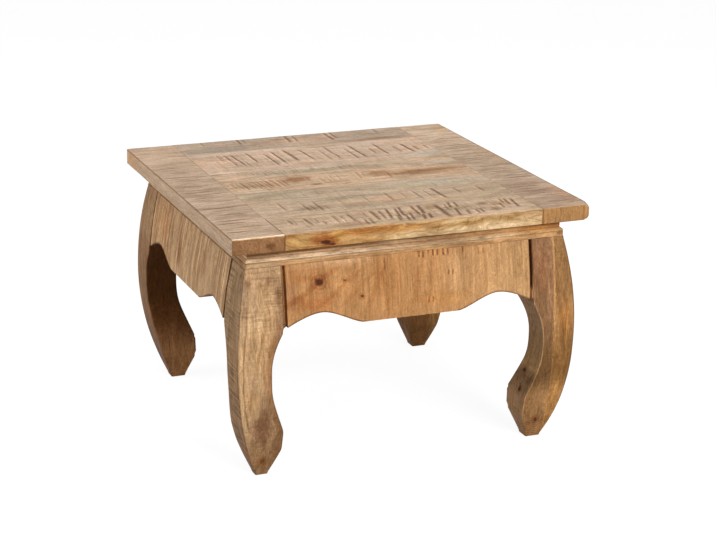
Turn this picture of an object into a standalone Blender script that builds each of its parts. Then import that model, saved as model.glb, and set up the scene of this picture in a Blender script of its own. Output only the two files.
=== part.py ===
"""Coffee table with curved legs, built piece by piece in Blender.

Units are metres and +Z is up. The front faces -Y, and the origin lies on the floor under the middle
of the top. A piece that repeats round the table is drawn on the front side, or at the front right
corner, and turned about Z.
"""

from math import cos, pi, radians, sin

import bmesh
import bpy
from mathutils import Vector
from mathutils.geometry import interpolate_bezier

# Driving sizes of the whole table
TABLE_SIDE = 0.600
TABLE_HEIGHT = 0.4075
TOP_THICKNESS = 0.0255
TOP_OVERHANG = 0.030
MOULDING_HEIGHT = 0.0325
SEAM = 0.0003

# Top: two end boards and the planks between them, which share the depth by their widths, back to front
END_BOARD_WIDTH = 0.084
PLANK_WIDTHS = (0.082, 0.142, 0.052, 0.082, 0.065, 0.086, 0.091)
TOP_CORNER_RADIUS = 0.005
TOP_CORNER_STEPS = 4
TOP_ARRIS = 0.001
TONGUE_LENGTH = 0.012
TONGUE_THICKNESS = 0.008
TONGUE_SETBACK = 0.025
GROOVE_SPARE_DEPTH = 0.0006

# Moulding frame: an upright lip, a thin scribed line, a rounded shoulder and a plain band
LIP_HEIGHT = 0.0072
LIP_REACH = 0.0045
LIP_SETBACK = 0.0005
SCRIBE_DEPTH = 0.0007
SCRIBE_HEIGHT = 0.0010
OVOLO_HEIGHT = 0.0056
OVOLO_STEPS = 4
RAIL_WIDTH = 0.050

# Legs: each outline point is a share of the leg's height and a distance out from the post's face
LEG_POST = 0.059
GLUE_LINE_DEPTH = 0.020
LEG_ARRIS = 0.002
THINNEST_EDGE = 0.001
LEG_FOOT_BACK = (0.000, -0.0233)
LEG_BULGE = (0.557, 0.0180)
LEG_HEAD = (1.000, 0.0000)
LEG_BACK_LOWER = (LEG_FOOT_BACK, (0.241, 0.0183), (0.503, 0.0180), LEG_BULGE)
LEG_BACK_UPPER = (LEG_BULGE, (0.712, 0.0180), (0.853, 0.0120), LEG_HEAD)
LEG_FOOT_FRONT = (0.000, 0.0163)
LEG_TOE_LOW = (0.129, -0.0019)
LEG_TOE_HIGH = (0.226, -0.0019)
LEG_ANKLE = (0.521, 0.0213)
LEG_KNEE = (0.716, 0.0000)
LEG_INSTEP = (LEG_TOE_HIGH, (0.403, 0.0206), (0.398, 0.0213), LEG_ANKLE)
LEG_ARCH = (LEG_ANKLE, (0.584, 0.0213), (0.644, 0.0151), LEG_KNEE)
CURVE_STEPS = 10

# Feet: how much fuller than the front left one the others were sawn, in front of the toe and behind the
# heel, and the share of the leg's height at which this has faded out
FRONT_RIGHT_TOE_FULLER = 0.0016
FRONT_RIGHT_HEEL_FULLER = 0.0034
BACK_LEFT_TOE_FULLER = 0.0045
BACK_RIGHT_TOE_FULLER = 0.0040
BACK_RIGHT_HEEL_FULLER = 0.0012
FULLER_SHARE = 0.48

# Aprons: the lower edge's points are a share of the half span and a height above its flat middle
APRON_DROP = 0.100
APRON_THICKNESS = 0.023
SCALLOP_FLAT_END = (0.400, 0.0000)
SCALLOP_PEAK = (0.724, 0.0225)
SCALLOP_END = (1.000, 0.0045)
SCALLOP_RISE = (SCALLOP_FLAT_END, (0.488, 0.0033), (0.624, 0.0225), SCALLOP_PEAK)
SCALLOP_FALL = (SCALLOP_PEAK, (0.820, 0.0225), (0.927, 0.0120), SCALLOP_END)
SHADOW_GROOVE_WIDTH = 0.005
SHADOW_GROOVE_DEPTH = 0.008
BOW_STEPS = 8
TENON_THICKNESS = 0.008
TENON_INSET = 0.007
TENON_LENGTH = 0.025
TENON_HEIGHT = 0.060
TENON_BELOW_TOP = 0.015
MORTISE_SPARE_DEPTH = 0.002

# Corner blocks, dowels and screws
BLOCK_REACH = 0.086
BLOCK_WING_LENGTH = 0.035
BLOCK_WING_THICKNESS = 0.020
BLOCK_HEIGHT = 0.050
DOWEL_RADIUS = 0.005
DOWEL_LENGTH = 0.040
DOWEL_CHAMFER = 0.001
DOWEL_FROM_POST = (0.015, 0.029)
DOWEL_SPARE_DEPTH = 0.001
SCREW_RADIUS = 0.00225
SCREW_HEAD_RADIUS = 0.0043
SCREW_HEAD_DEPTH = 0.0030
SCREW_HEAD_RIM = 0.0005
SCREW_TIP_LENGTH = 0.006
SCREW_SPARE_DEPTH = 0.001
RECESS_LENGTH = 0.0046
RECESS_WIDTH = 0.0011
RECESS_DEPTH = 0.0018
BLOCK_SCREW_LENGTH = 0.038
TOP_SCREW_LENGTH = 0.045
TOP_SCREW_SPREAD = 0.100
TOP_SCREW_LINE = 0.031
ROUND_STEPS = 20
TOOL_OVERRUN = 0.005

# Worked out from the driving sizes
HALF = TABLE_SIDE / 2
UNDERSIDE = TABLE_HEIGHT - TOP_THICKNESS
LEG_HEIGHT = UNDERSIDE - MOULDING_HEIGHT
POST_OUT = HALF - TOP_OVERHANG
POST_IN = POST_OUT - LEG_POST
GLUE_PLANE = POST_OUT - GLUE_LINE_DEPTH
APRON_IN = POST_OUT - APRON_THICKNESS
TENON_NEAR = APRON_IN + TENON_INSET
TENON_TOP = LEG_HEIGHT - TENON_BELOW_TOP
LIP_FACE = POST_OUT - LIP_SETBACK
BAND_FACE = LIP_FACE - LIP_REACH
RAIL_IN = BAND_FACE - RAIL_WIDTH
RAIL_BOTTOM = LEG_HEIGHT + SEAM
CORE_HALF = HALF - END_BOARD_WIDTH

# Colour, roughness and metallic value of each kind of piece
END_BOARD_FINISH = ((0.42, 0.28, 0.17), 0.62, 0.0)
PLANK_FINISH = ((0.48, 0.33, 0.20), 0.62, 0.0)
MOULDING_FINISH = ((0.47, 0.28, 0.13), 0.58, 0.0)
APRON_FINISH = ((0.50, 0.25, 0.10), 0.58, 0.0)
INNER_BOARD_FINISH = ((0.36, 0.19, 0.08), 0.58, 0.0)
OUTER_BOARD_FINISH = ((0.46, 0.24, 0.08), 0.58, 0.0)
BLOCK_FINISH = ((0.45, 0.30, 0.17), 0.75, 0.0)
DOWEL_FINISH = ((0.60, 0.44, 0.25), 0.70, 0.0)
SCREW_FINISH = ((0.60, 0.58, 0.52), 0.35, 1.0)

SIDES = {"front": 0, "right": 90, "back": 180, "left": 270}
CORNERS = {"front_right": 0, "back_right": 90, "back_left": 180, "front_left": 270}


def clear_scene():
    for obj in list(bpy.data.objects):
        bpy.data.objects.remove(obj, do_unlink=True)


def add_object(name, bm):
    """Closes a bmesh into a new object with its faces turned outward."""
    bmesh.ops.recalc_face_normals(bm, faces=bm.faces[:])
    mesh = bpy.data.meshes.new(name)
    bm.to_mesh(mesh)
    bm.free()
    obj = bpy.data.objects.new(name, mesh)
    bpy.context.collection.objects.link(obj)
    return obj


def finish_piece(obj, finish, turn=0):
    """Gives a piece its material, turns it about the table's axis and hangs it on the table."""
    colour, roughness, metallic = finish
    material = bpy.data.materials.new(obj.name)
    material.use_nodes = True
    shader = material.node_tree.nodes["Principled BSDF"]
    shader.inputs["Base Color"].default_value = (*colour, 1.0)
    shader.inputs["Roughness"].default_value = roughness
    shader.inputs["Metallic"].default_value = metallic
    material.diffuse_color = (*colour, 1.0)
    obj.data.materials.clear()
    obj.data.materials.append(material)
    obj.rotation_euler.z += radians(turn)
    obj.parent = bpy.data.objects["coffee_table"]
    return obj


def box_bmesh(low, high):
    bm = bmesh.new()
    bmesh.ops.create_cube(bm, size=1.0)
    size = Vector(high) - Vector(low)
    middle = (Vector(high) + Vector(low)) / 2
    bmesh.ops.scale(bm, vec=size, verts=bm.verts[:])
    bmesh.ops.translate(bm, vec=middle, verts=bm.verts[:])
    return bm


def box_tool(low, high):
    return add_object("tool", box_bmesh(low, high))


def prism_bmesh(outline, direction):
    """Extrudes a closed outline of points along a direction."""
    bm = bmesh.new()
    face = bm.faces.new([bm.verts.new(point) for point in outline])
    extruded = bmesh.ops.extrude_face_region(bm, geom=[face])
    moved = [item for item in extruded["geom"] if isinstance(item, bmesh.types.BMVert)]
    bmesh.ops.translate(bm, vec=direction, verts=moved)
    return bm


def turned_bmesh(profile):
    """Spins a profile of (radius, height) points, which starts and ends on the axis, into a solid."""
    bm = bmesh.new()
    verts = [bm.verts.new((radius, 0, height)) for radius, height in profile]
    edges = [bm.edges.new(pair) for pair in zip(verts, verts[1:])]
    bmesh.ops.spin(bm, geom=verts + edges, axis=(0, 0, 1), cent=(0, 0, 0), angle=2 * pi,
                   steps=ROUND_STEPS, use_merge=True)
    bmesh.ops.remove_doubles(bm, verts=bm.verts[:], dist=SCREW_RADIUS / 1000)
    return bm


def apply_tools(obj, tools, operation):
    """Cuts the tools out of a piece, or joins them to it, and deletes them."""
    for tool in tools:
        modifier = obj.modifiers.new(tool.name, "BOOLEAN")
        modifier.operation = operation
        modifier.solver = "EXACT"
        modifier.object = tool
    evaluated = obj.evaluated_get(bpy.context.evaluated_depsgraph_get())
    result = bpy.data.meshes.new_from_object(evaluated)
    obj.modifiers.clear()
    plain = obj.data
    obj.data = result
    result.name = obj.name
    bpy.data.meshes.remove(plain)
    for tool in tools:
        bpy.data.objects.remove(tool, do_unlink=True)


def bezier_points(curve):
    """Points along one curve of (share, distance) knots and handles."""
    knots = [Vector((share, distance, 0)) for share, distance in curve]
    return [(point.x, point.y) for point in interpolate_bezier(*knots, CURVE_STEPS + 1)]


def value_at(points, place):
    """Reads a line of (place, value) points, sorted by place, between its points."""
    for (start, low), (end, high) in zip(points, points[1:]):
        if place <= end:
            return low + (high - low) * (place - start) / (end - start)
    return points[-1][1]


def leg_faces(toe_fuller, heel_fuller):
    """The outer and inner faces' distances from the table's middle, each as (height, distance)."""
    back = bezier_points(LEG_BACK_LOWER) + bezier_points(LEG_BACK_UPPER)[1:]
    front = [LEG_FOOT_FRONT, LEG_TOE_LOW] + bezier_points(LEG_INSTEP)
    front += bezier_points(LEG_ARCH)[1:] + [LEG_HEAD]
    outer = [(share * LEG_HEIGHT, POST_OUT + distance + heel_fuller * max(0, 1 - share / FULLER_SHARE))
             for share, distance in back]
    inner = [(share * LEG_HEIGHT, POST_IN + distance - toe_fuller * max(0, 1 - share / FULLER_SHARE))
             for share, distance in front]
    return outer, inner


LEG_FACES = {"front_left": leg_faces(0, 0),
             "front_right": leg_faces(FRONT_RIGHT_TOE_FULLER, FRONT_RIGHT_HEEL_FULLER),
             "back_left": leg_faces(BACK_LEFT_TOE_FULLER, 0),
             "back_right": leg_faces(BACK_RIGHT_TOE_FULLER, BACK_RIGHT_HEEL_FULLER)}
LEG_OUTER = LEG_FACES["front_left"][0]


def leg_levels(faces, lowest):
    """Heights of the sections that follow both faces of a leg, from its lowest one up."""
    outer, inner = faces
    heights = sorted({height for height, _ in outer + inner if height > lowest})
    return [lowest] + heights


def rounded_corner(corner, along, across, radius):
    """Three points that ease a section's corner, from one side to the next."""
    centre = corner + (along + across) * radius
    return [centre - across * radius * sin(angle) - along * radius * cos(angle)
            for angle in (pi / 2, pi / 4, 0)]


def inner_board_section(faces, height):
    outer, inner = faces
    near = value_at(inner, height)
    far = value_at(outer, height)
    glue = min(far, GLUE_PLANE - SEAM / 2)
    radius = min(LEG_ARRIS, (glue - near) / 3)
    right = Vector((1, 0))
    up = Vector((0, 1))
    section = rounded_corner(Vector((near, far)), right, -up, radius)
    section += rounded_corner(Vector((near, near)), right, up, radius)[::-1]
    return section + [Vector((glue, near)), Vector((glue, far))]


def outer_board_section(faces, height):
    outer, inner = faces
    near = value_at(inner, height)
    far = value_at(outer, height)
    glue = GLUE_PLANE + SEAM / 2
    radius = min(LEG_ARRIS, (far - glue) / 3)
    right = Vector((1, 0))
    up = Vector((0, 1))
    section = rounded_corner(Vector((far, near)), -right, up, radius)
    section += rounded_corner(Vector((far, far)), -right, -up, radius)[::-1]
    return section + [Vector((glue, far)), Vector((glue, near))]


def leg_board(name, section_at, faces, lowest, signs):
    """Stacks a leg board's sections from its lowest one up, skins them and closes both ends."""
    bm = bmesh.new()
    rings = [[bm.verts.new((*point, height)) for point in section_at(faces, height)]
             for height in leg_levels(faces, lowest)]
    for below, above in zip(rings, rings[1:]):
        for here in range(len(below)):
            bm.faces.new((below[here - 1], below[here], above[here], above[here - 1]))
    bm.faces.new(rings[0])
    bm.faces.new(rings[-1])
    bmesh.ops.scale(bm, vec=(*signs, 1), verts=bm.verts[:])
    return add_object(name, bm)


def height_where_outer_reaches(faces, distance):
    """The height near the foot at which a leg's outer face is this far from the middle."""
    rising = [(out, height) for height, out in faces[0] if height <= LEG_BULGE[0] * LEG_HEIGHT]
    return value_at(rising, distance)


def mortise_tool(signs, along_x):
    """The pocket for an apron's tenon, in the leg board on that side."""
    deep = POST_IN + TENON_LENGTH + MORTISE_SPARE_DEPTH
    low_end = POST_IN - TOOL_OVERRUN
    low_side = TENON_NEAR - SEAM
    high_side = TENON_NEAR + TENON_THICKNESS + SEAM
    low = [low_end, low_side, TENON_TOP - TENON_HEIGHT - SEAM]
    high = [deep, high_side, TENON_TOP + SEAM]
    if not along_x:
        low[0], low[1] = low[1], low[0]
        high[0], high[1] = high[1], high[0]
    tool = box_bmesh(low, high)
    bmesh.ops.scale(tool, vec=(*signs, 1), verts=tool.verts[:])
    return add_object("tool", tool)


def dowel_profile(clearance, spare):
    half = DOWEL_LENGTH / 2 + spare
    radius = DOWEL_RADIUS + clearance
    return [(0, -half), (radius - DOWEL_CHAMFER, -half), (radius, DOWEL_CHAMFER - half),
            (radius, half - DOWEL_CHAMFER), (radius - DOWEL_CHAMFER, half), (0, half)]


def dowel_place(signs):
    return Vector((signs[0] * (POST_IN + DOWEL_FROM_POST[0]), signs[1] * (POST_IN + DOWEL_FROM_POST[1]),
                   LEG_HEIGHT + SEAM / 2))


def dowel_tool(signs):
    tool = add_object("tool", turned_bmesh(dowel_profile(SEAM, DOWEL_SPARE_DEPTH)))
    tool.location = dowel_place(signs)
    return tool


def corner_signs(corner):
    across = 1 if corner.endswith("right") else -1
    along = 1 if corner.startswith("back") else -1
    return across, along


def build_legs():
    for corner in CORNERS:
        signs = corner_signs(corner)
        faces = LEG_FACES[corner]
        inner = leg_board(f"leg_{corner}_inner_board", inner_board_section, faces, 0.0, signs)
        apply_tools(inner, [mortise_tool(signs, True), dowel_tool(signs)], "DIFFERENCE")
        finish_piece(inner, INNER_BOARD_FINISH)
        lowest = height_where_outer_reaches(faces, GLUE_PLANE + SEAM / 2 + THINNEST_EDGE)
        outer = leg_board(f"leg_{corner}_outer_board", outer_board_section, faces, lowest, signs)
        apply_tools(outer, [mortise_tool(signs, False)], "DIFFERENCE")
        finish_piece(outer, OUTER_BOARD_FINISH)
        dowel = add_object(f"dowel_{corner}", turned_bmesh(dowel_profile(0, 0)))
        dowel.location = dowel_place(signs)
        finish_piece(dowel, DOWEL_FINISH)


def scallop_edge(half_span):
    """The apron's lower edge from the middle's flat to its right end, as (x, height) points."""
    points = bezier_points(SCALLOP_RISE) + bezier_points(SCALLOP_FALL)[1:]
    base = LEG_HEIGHT - APRON_DROP
    return [(share * half_span, base + rise) for share, rise in points]


def apron_outline():
    """The apron seen from the front on its inner face; its shoulders reach down to the legs' knees."""
    shoulder = POST_IN - SEAM
    face_end = POST_IN - SHADOW_GROOVE_WIDTH
    knee = LEG_KNEE[0] * LEG_HEIGHT
    right = scallop_edge(face_end) + [(face_end, knee), (shoulder, knee)]
    left = [(-x, z) for x, z in reversed(right)]
    top = [(shoulder, LEG_HEIGHT), (-shoulder, LEG_HEIGHT)]
    return [(x, -APRON_IN, z) for x, z in left + right + top]


def bow_levels():
    """Heights at which the apron follows the curve of the legs, from its lowest edge to its top."""
    lowest = LEG_HEIGHT - APRON_DROP
    return [lowest + APRON_DROP * step / BOW_STEPS for step in range(BOW_STEPS + 1)]


def bow_outward(bm):
    """Adds level cuts and moves the apron's front face out to the curve of the legs."""
    for height in bow_levels()[1:-1]:
        everything = bm.verts[:] + bm.edges[:] + bm.faces[:]
        bmesh.ops.bisect_plane(bm, geom=everything, plane_co=(0, 0, height), plane_no=(0, 0, 1))
    for vert in bm.verts:
        if vert.co.y < -APRON_IN - SEAM:
            vert.co.y = -value_at(LEG_OUTER, vert.co.z)


def groove_tool(start, end):
    """A cutter for a shadow groove, whose floor follows the curve of the apron's face."""
    reach = POST_OUT + LEG_BULGE[1] + TOOL_OVERRUN
    levels = [LEG_HEIGHT - APRON_DROP - TOOL_OVERRUN] + bow_levels() + [LEG_HEIGHT + TOOL_OVERRUN]
    floor = [(start, SHADOW_GROOVE_DEPTH - value_at(LEG_OUTER, height), height) for height in levels]
    outline = floor + [(start, -reach, levels[-1]), (start, -reach, levels[0])]
    return add_object("tool", prism_bmesh(outline, (end - start, 0, 0)))


def apron_tools():
    """The cuts for the shadow grooves, and the tenons to join on, at both ends of an apron."""
    face_end = POST_IN - SHADOW_GROOVE_WIDTH
    cuts = []
    tenons = []
    for side in (-1, 1):
        cuts.append(groove_tool(side * face_end, side * (POST_IN + TOOL_OVERRUN)))
        ends = sorted((side * face_end, side * (POST_IN + TENON_LENGTH)))
        tenons.append(box_tool((ends[0], -TENON_NEAR - TENON_THICKNESS, TENON_TOP - TENON_HEIGHT),
                               (ends[1], -TENON_NEAR, TENON_TOP)))
    return cuts, tenons


def build_aprons():
    for side, turn in SIDES.items():
        bm = prism_bmesh(apron_outline(), (0, -APRON_THICKNESS, 0))
        bow_outward(bm)
        apron = add_object(f"apron_{side}", bm)
        cuts, tenons = apron_tools()
        apply_tools(apron, cuts, "DIFFERENCE")
        apply_tools(apron, tenons, "UNION")
        screw_holes = [screw_tool(*place) for place in apron_screw_places()]
        apply_tools(apron, screw_holes, "DIFFERENCE")
        finish_piece(apron, APRON_FINISH, turn)


def rail_profile():
    """The moulding's section as (distance from the middle, height), from its inner foot outward and up."""
    lip_top = RAIL_BOTTOM + LIP_HEIGHT
    ovolo_foot = lip_top + SCRIBE_HEIGHT
    profile = [(RAIL_IN, RAIL_BOTTOM), (LIP_FACE, RAIL_BOTTOM), (LIP_FACE, lip_top),
               (LIP_FACE - SCRIBE_DEPTH, lip_top + SCRIBE_HEIGHT / 2)]
    for step in range(OVOLO_STEPS + 1):
        angle = pi / 2 * step / OVOLO_STEPS
        profile.append((BAND_FACE + LIP_REACH * cos(angle), ovolo_foot + OVOLO_HEIGHT * sin(angle)))
    return profile + [(BAND_FACE, UNDERSIDE - SEAM), (RAIL_IN, UNDERSIDE - SEAM)]


def build_mouldings():
    mitre_gap = SEAM / 2 ** 0.5
    for side, turn in SIDES.items():
        outline = [(-1, -distance, height) for distance, height in rail_profile()]
        bm = prism_bmesh(outline, (2, 0, 0))
        for vert in bm.verts:
            vert.co.x *= -vert.co.y - mitre_gap
        rail = add_object(f"moulding_{side}", bm)
        tools = [screw_tool(*place) for place in top_screw_places()]
        if side in ("front", "back"):
            tools += [dowel_tool((across, -1)) for across in (-1, 1)]
        apply_tools(rail, tools, "DIFFERENCE")
        finish_piece(rail, MOULDING_FINISH, turn)


def ease(bm, edges, width, steps):
    bmesh.ops.bevel(bm, geom=edges, offset=width, offset_type="OFFSET", segments=steps, profile=0.5,
                    affect="EDGES", clamp_overlap=True, material=-1)


def end_board_bmesh():
    bm = box_bmesh((CORE_HALF, -HALF, UNDERSIDE), (HALF, HALF, TABLE_HEIGHT))
    uprights = [edge for edge in bm.edges
                if all(vert.co.x > HALF - SEAM for vert in edge.verts)
                and abs(edge.verts[0].co.z - edge.verts[1].co.z) > SEAM]
    ease(bm, uprights, TOP_CORNER_RADIUS, TOP_CORNER_STEPS)
    rims = [edge for edge in bm.edges
            if abs(edge.verts[0].co.z - edge.verts[1].co.z) < SEAM
            and any(vert.co.x > CORE_HALF + SEAM for vert in edge.verts)]
    ease(bm, rims, TOP_ARRIS, 1)
    return bm


def build_end_boards():
    middle = UNDERSIDE + TOP_THICKNESS / 2
    half_groove = TONGUE_THICKNESS / 2 + SEAM
    floor = CORE_HALF + TONGUE_LENGTH + GROOVE_SPARE_DEPTH
    length = HALF - TONGUE_SETBACK + SEAM
    for side, turn in {"right": 0, "left": 180}.items():
        board = add_object(f"end_board_{side}", end_board_bmesh())
        groove = box_tool((CORE_HALF - TOOL_OVERRUN, -length, middle - half_groove),
                          (floor, length, middle + half_groove))
        screws = [screw_tool(*turned(place, 90)) for place in top_screw_places()]
        apply_tools(board, [groove] + screws, "DIFFERENCE")
        finish_piece(board, END_BOARD_FINISH, turn)


def plank_outline(back):
    """A plank's long section with its tongues, on its back edge."""
    end = CORE_HALF - SEAM
    tip = end + TONGUE_LENGTH
    middle = UNDERSIDE + TOP_THICKNESS / 2
    low = middle - TONGUE_THICKNESS / 2
    high = middle + TONGUE_THICKNESS / 2
    right = [(end, UNDERSIDE), (end, low), (tip, low), (tip, high), (end, high), (end, TABLE_HEIGHT)]
    left = [(-x, z) for x, z in reversed(right)]
    return [(x, back, z) for x, z in right + left]


def tongue_setback_tools(outward):
    """Cuts the tongues of an outermost plank back from the table's edge, where the grooves stop."""
    start = HALF - TONGUE_SETBACK
    tools = []
    for side in (-1, 1):
        ends = sorted((side * (CORE_HALF - SEAM), side * HALF))
        depth = sorted((outward * start, outward * (HALF + TOOL_OVERRUN)))
        tools.append(box_tool((ends[0], depth[0], UNDERSIDE - TOOL_OVERRUN),
                              (ends[1], depth[1], TABLE_HEIGHT + TOOL_OVERRUN)))
    return tools


def build_planks():
    back = HALF
    last = len(PLANK_WIDTHS)
    for number, width in enumerate(PLANK_WIDTHS, start=1):
        front = back - width * TABLE_SIDE / sum(PLANK_WIDTHS)
        start = back - (0 if number == 1 else SEAM / 2)
        end = front + (0 if number == last else SEAM / 2)
        plank = add_object(f"top_plank_{number}", eased_plank_bmesh(start, end))
        outward = {1: 1, last: -1}.get(number)
        if outward:
            turn = 180 if outward > 0 else 0
            tools = tongue_setback_tools(outward)
            tools += [screw_tool(*turned(place, turn)) for place in top_screw_places()]
            apply_tools(plank, tools, "DIFFERENCE")
        finish_piece(plank, PLANK_FINISH)
        back = front


def eased_plank_bmesh(start, end):
    """A plank from its back edge to its front edge, with the table's own front or back arris eased."""
    bm = prism_bmesh(plank_outline(start), (0, end - start, 0))
    rims = [edge for edge in bm.edges
            if all(abs(vert.co.y) > HALF - SEAM for vert in edge.verts)
            and edge.verts[0].co.z == edge.verts[1].co.z
            and abs(edge.verts[0].co.z - UNDERSIDE - TOP_THICKNESS / 2) > TONGUE_THICKNESS]
    ease(bm, rims, TOP_ARRIS, 1)
    return bm


def block_outline():
    """A corner block at the front right corner, notched round the leg, with a wing on each apron."""
    far = APRON_IN - SEAM
    notch = POST_IN - SEAM
    end = APRON_IN - SEAM - BLOCK_REACH - BLOCK_WING_LENGTH
    wing = far - BLOCK_WING_THICKNESS
    turn = end + BLOCK_WING_LENGTH
    outline = [(far, end), (far, notch), (notch, notch), (notch, far), (end, far), (end, wing),
               (turn, wing), (wing, turn), (wing, end)]
    return [(x, -y, LEG_HEIGHT - BLOCK_HEIGHT) for x, y in outline]


def apron_screw_places():
    """Head point, direction and length of the screws that hold the corner blocks to the front apron."""
    along = APRON_IN - SEAM - BLOCK_REACH - BLOCK_WING_LENGTH / 2
    head = -(APRON_IN - SEAM - BLOCK_WING_THICKNESS)
    height = LEG_HEIGHT - BLOCK_HEIGHT / 2
    return [(Vector((side * along, head, height)), Vector((0, -1, 0)), BLOCK_SCREW_LENGTH)
            for side in (-1, 1)]


def top_screw_places():
    """Head point, direction and length of the screws up through the front moulding into the top."""
    line = -(BAND_FACE - TOP_SCREW_LINE)
    return [(Vector((side * TOP_SCREW_SPREAD, line, RAIL_BOTTOM)), Vector((0, 0, 1)), TOP_SCREW_LENGTH)
            for side in (-1, 1)]


def turned(place, degrees):
    """A screw's place turned about the table's axis."""
    head, direction, length = place
    turn = radians(degrees)
    return [rotate_about_z(head, turn), rotate_about_z(direction, turn), length]


def rotate_about_z(vector, angle):
    return Vector((vector.x * cos(angle) - vector.y * sin(angle),
                   vector.x * sin(angle) + vector.y * cos(angle), vector.z))


def screw_profile(length):
    return [(0, 0), (SCREW_HEAD_RADIUS, 0), (SCREW_HEAD_RADIUS, -SCREW_HEAD_RIM),
            (SCREW_RADIUS, -SCREW_HEAD_DEPTH), (SCREW_RADIUS, SCREW_TIP_LENGTH - length), (0, -length)]


def hole_profile(length):
    """The screw's shape with room all round it, open above its head."""
    head = SCREW_HEAD_RADIUS + SEAM
    shank = SCREW_RADIUS + SEAM
    bottom = -length - SCREW_SPARE_DEPTH
    return [(0, TOOL_OVERRUN), (head, TOOL_OVERRUN), (head, -SCREW_HEAD_RIM - SEAM),
            (shank, -SCREW_HEAD_DEPTH - SEAM), (shank, bottom), (0, bottom)]


def aim(obj, head, direction):
    """Stands a turned shape, drawn pointing down, with its head at a point and its tip ahead."""
    obj.location = head
    obj.rotation_mode = "XYZ"
    obj.rotation_euler = Vector((0, 0, -1)).rotation_difference(direction).to_euler("XYZ")


def screw_tool(head, direction, length):
    tool = add_object("tool", turned_bmesh(hole_profile(length)))
    aim(tool, head, direction)
    return tool


def screw(name, head, direction, length):
    obj = add_object(name, turned_bmesh(screw_profile(length)))
    half = RECESS_LENGTH / 2
    thin = RECESS_WIDTH / 2
    recess = [box_tool((-half, -thin, -RECESS_DEPTH), (half, thin, TOOL_OVERRUN)),
              box_tool((-thin, -half, -RECESS_DEPTH), (thin, half, TOOL_OVERRUN))]
    apply_tools(obj, recess, "DIFFERENCE")
    aim(obj, head, direction)
    return finish_piece(obj, SCREW_FINISH)


def build_blocks():
    for corner, turn in CORNERS.items():
        bm = prism_bmesh(block_outline(), (0, 0, BLOCK_HEIGHT - SEAM))
        block = add_object(f"corner_block_{corner}", bm)
        front_screw = apron_screw_places()[1]
        side_screw = turned(apron_screw_places()[0], 90)
        tools = [screw_tool(*front_screw), screw_tool(*side_screw)]
        apply_tools(block, tools, "DIFFERENCE")
        finish_piece(block, BLOCK_FINISH, turn)


def build_screws():
    for side, turn in SIDES.items():
        for end, place in zip(("a", "b"), apron_screw_places()):
            screw(f"block_screw_{side}_{end}", *turned(place, turn))
        for end, place in zip(("a", "b"), top_screw_places()):
            screw(f"top_screw_{side}_{end}", *turned(place, turn))


def main():
    clear_scene()
    table = bpy.data.objects.new("coffee_table", None)
    bpy.context.collection.objects.link(table)
    build_planks()
    build_end_boards()
    build_mouldings()
    build_aprons()
    build_legs()
    build_blocks()
    build_screws()


main()
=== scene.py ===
from math import cos, pi, radians, sin

import bmesh
import bpy
from mathutils import Matrix, Vector, noise
from mathutils.geometry import interpolate_bezier


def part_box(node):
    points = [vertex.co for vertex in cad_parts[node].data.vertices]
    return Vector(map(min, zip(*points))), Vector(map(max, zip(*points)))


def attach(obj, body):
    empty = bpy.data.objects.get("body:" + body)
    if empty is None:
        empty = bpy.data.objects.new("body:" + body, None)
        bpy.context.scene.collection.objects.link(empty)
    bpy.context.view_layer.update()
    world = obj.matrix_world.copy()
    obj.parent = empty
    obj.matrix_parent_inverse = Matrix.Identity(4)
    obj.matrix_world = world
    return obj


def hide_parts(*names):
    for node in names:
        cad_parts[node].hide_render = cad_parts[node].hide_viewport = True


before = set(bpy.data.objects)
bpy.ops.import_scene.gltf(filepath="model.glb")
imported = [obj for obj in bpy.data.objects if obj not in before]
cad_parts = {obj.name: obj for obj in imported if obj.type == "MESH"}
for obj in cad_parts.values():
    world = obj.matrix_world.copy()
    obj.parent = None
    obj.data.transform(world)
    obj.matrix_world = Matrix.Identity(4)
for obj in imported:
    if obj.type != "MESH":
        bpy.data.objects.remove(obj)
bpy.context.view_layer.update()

# The looks of a low mango-wood coffee table with curved legs. The pieces that show are modelled again
# over the frame, board by board, with eased arrises, and every board has its own procedural wood.
# Units are metres, +Z is up and the front faces -Y.

# Camera, found from the photograph's edges
CAMERA_PLACE = Vector((-1.1322, -2.8986, 1.2188))
CAMERA_YAW = radians(21.712)
CAMERA_PITCH = radians(17.446)
CAMERA_ROLL = radians(0.57)
CAMERA_LENS = 96.33

# Sizes read from the frame
TOP_LOW, TOP_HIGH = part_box("end_board_right")
HALF = TOP_HIGH[0]
CORE_HALF = TOP_LOW[0]
TOP_Z = TOP_HIGH[2]
UNDER_Z = TOP_LOW[2]
LEG_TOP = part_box("leg_front_right_inner_board")[1][2]
RAIL_LOW, RAIL_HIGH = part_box("moulding_front")
LIP_FACE = RAIL_HIGH[0]
RAIL_IN = -RAIL_HIGH[1]
PLANK_NAMES = [f"top_plank_{number}" for number in range(1, 8)]
SIDES = {"front": 0, "right": 90, "back": 180, "left": 270}
CORNERS = ("front_left", "front_right", "back_left", "back_right")

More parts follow.
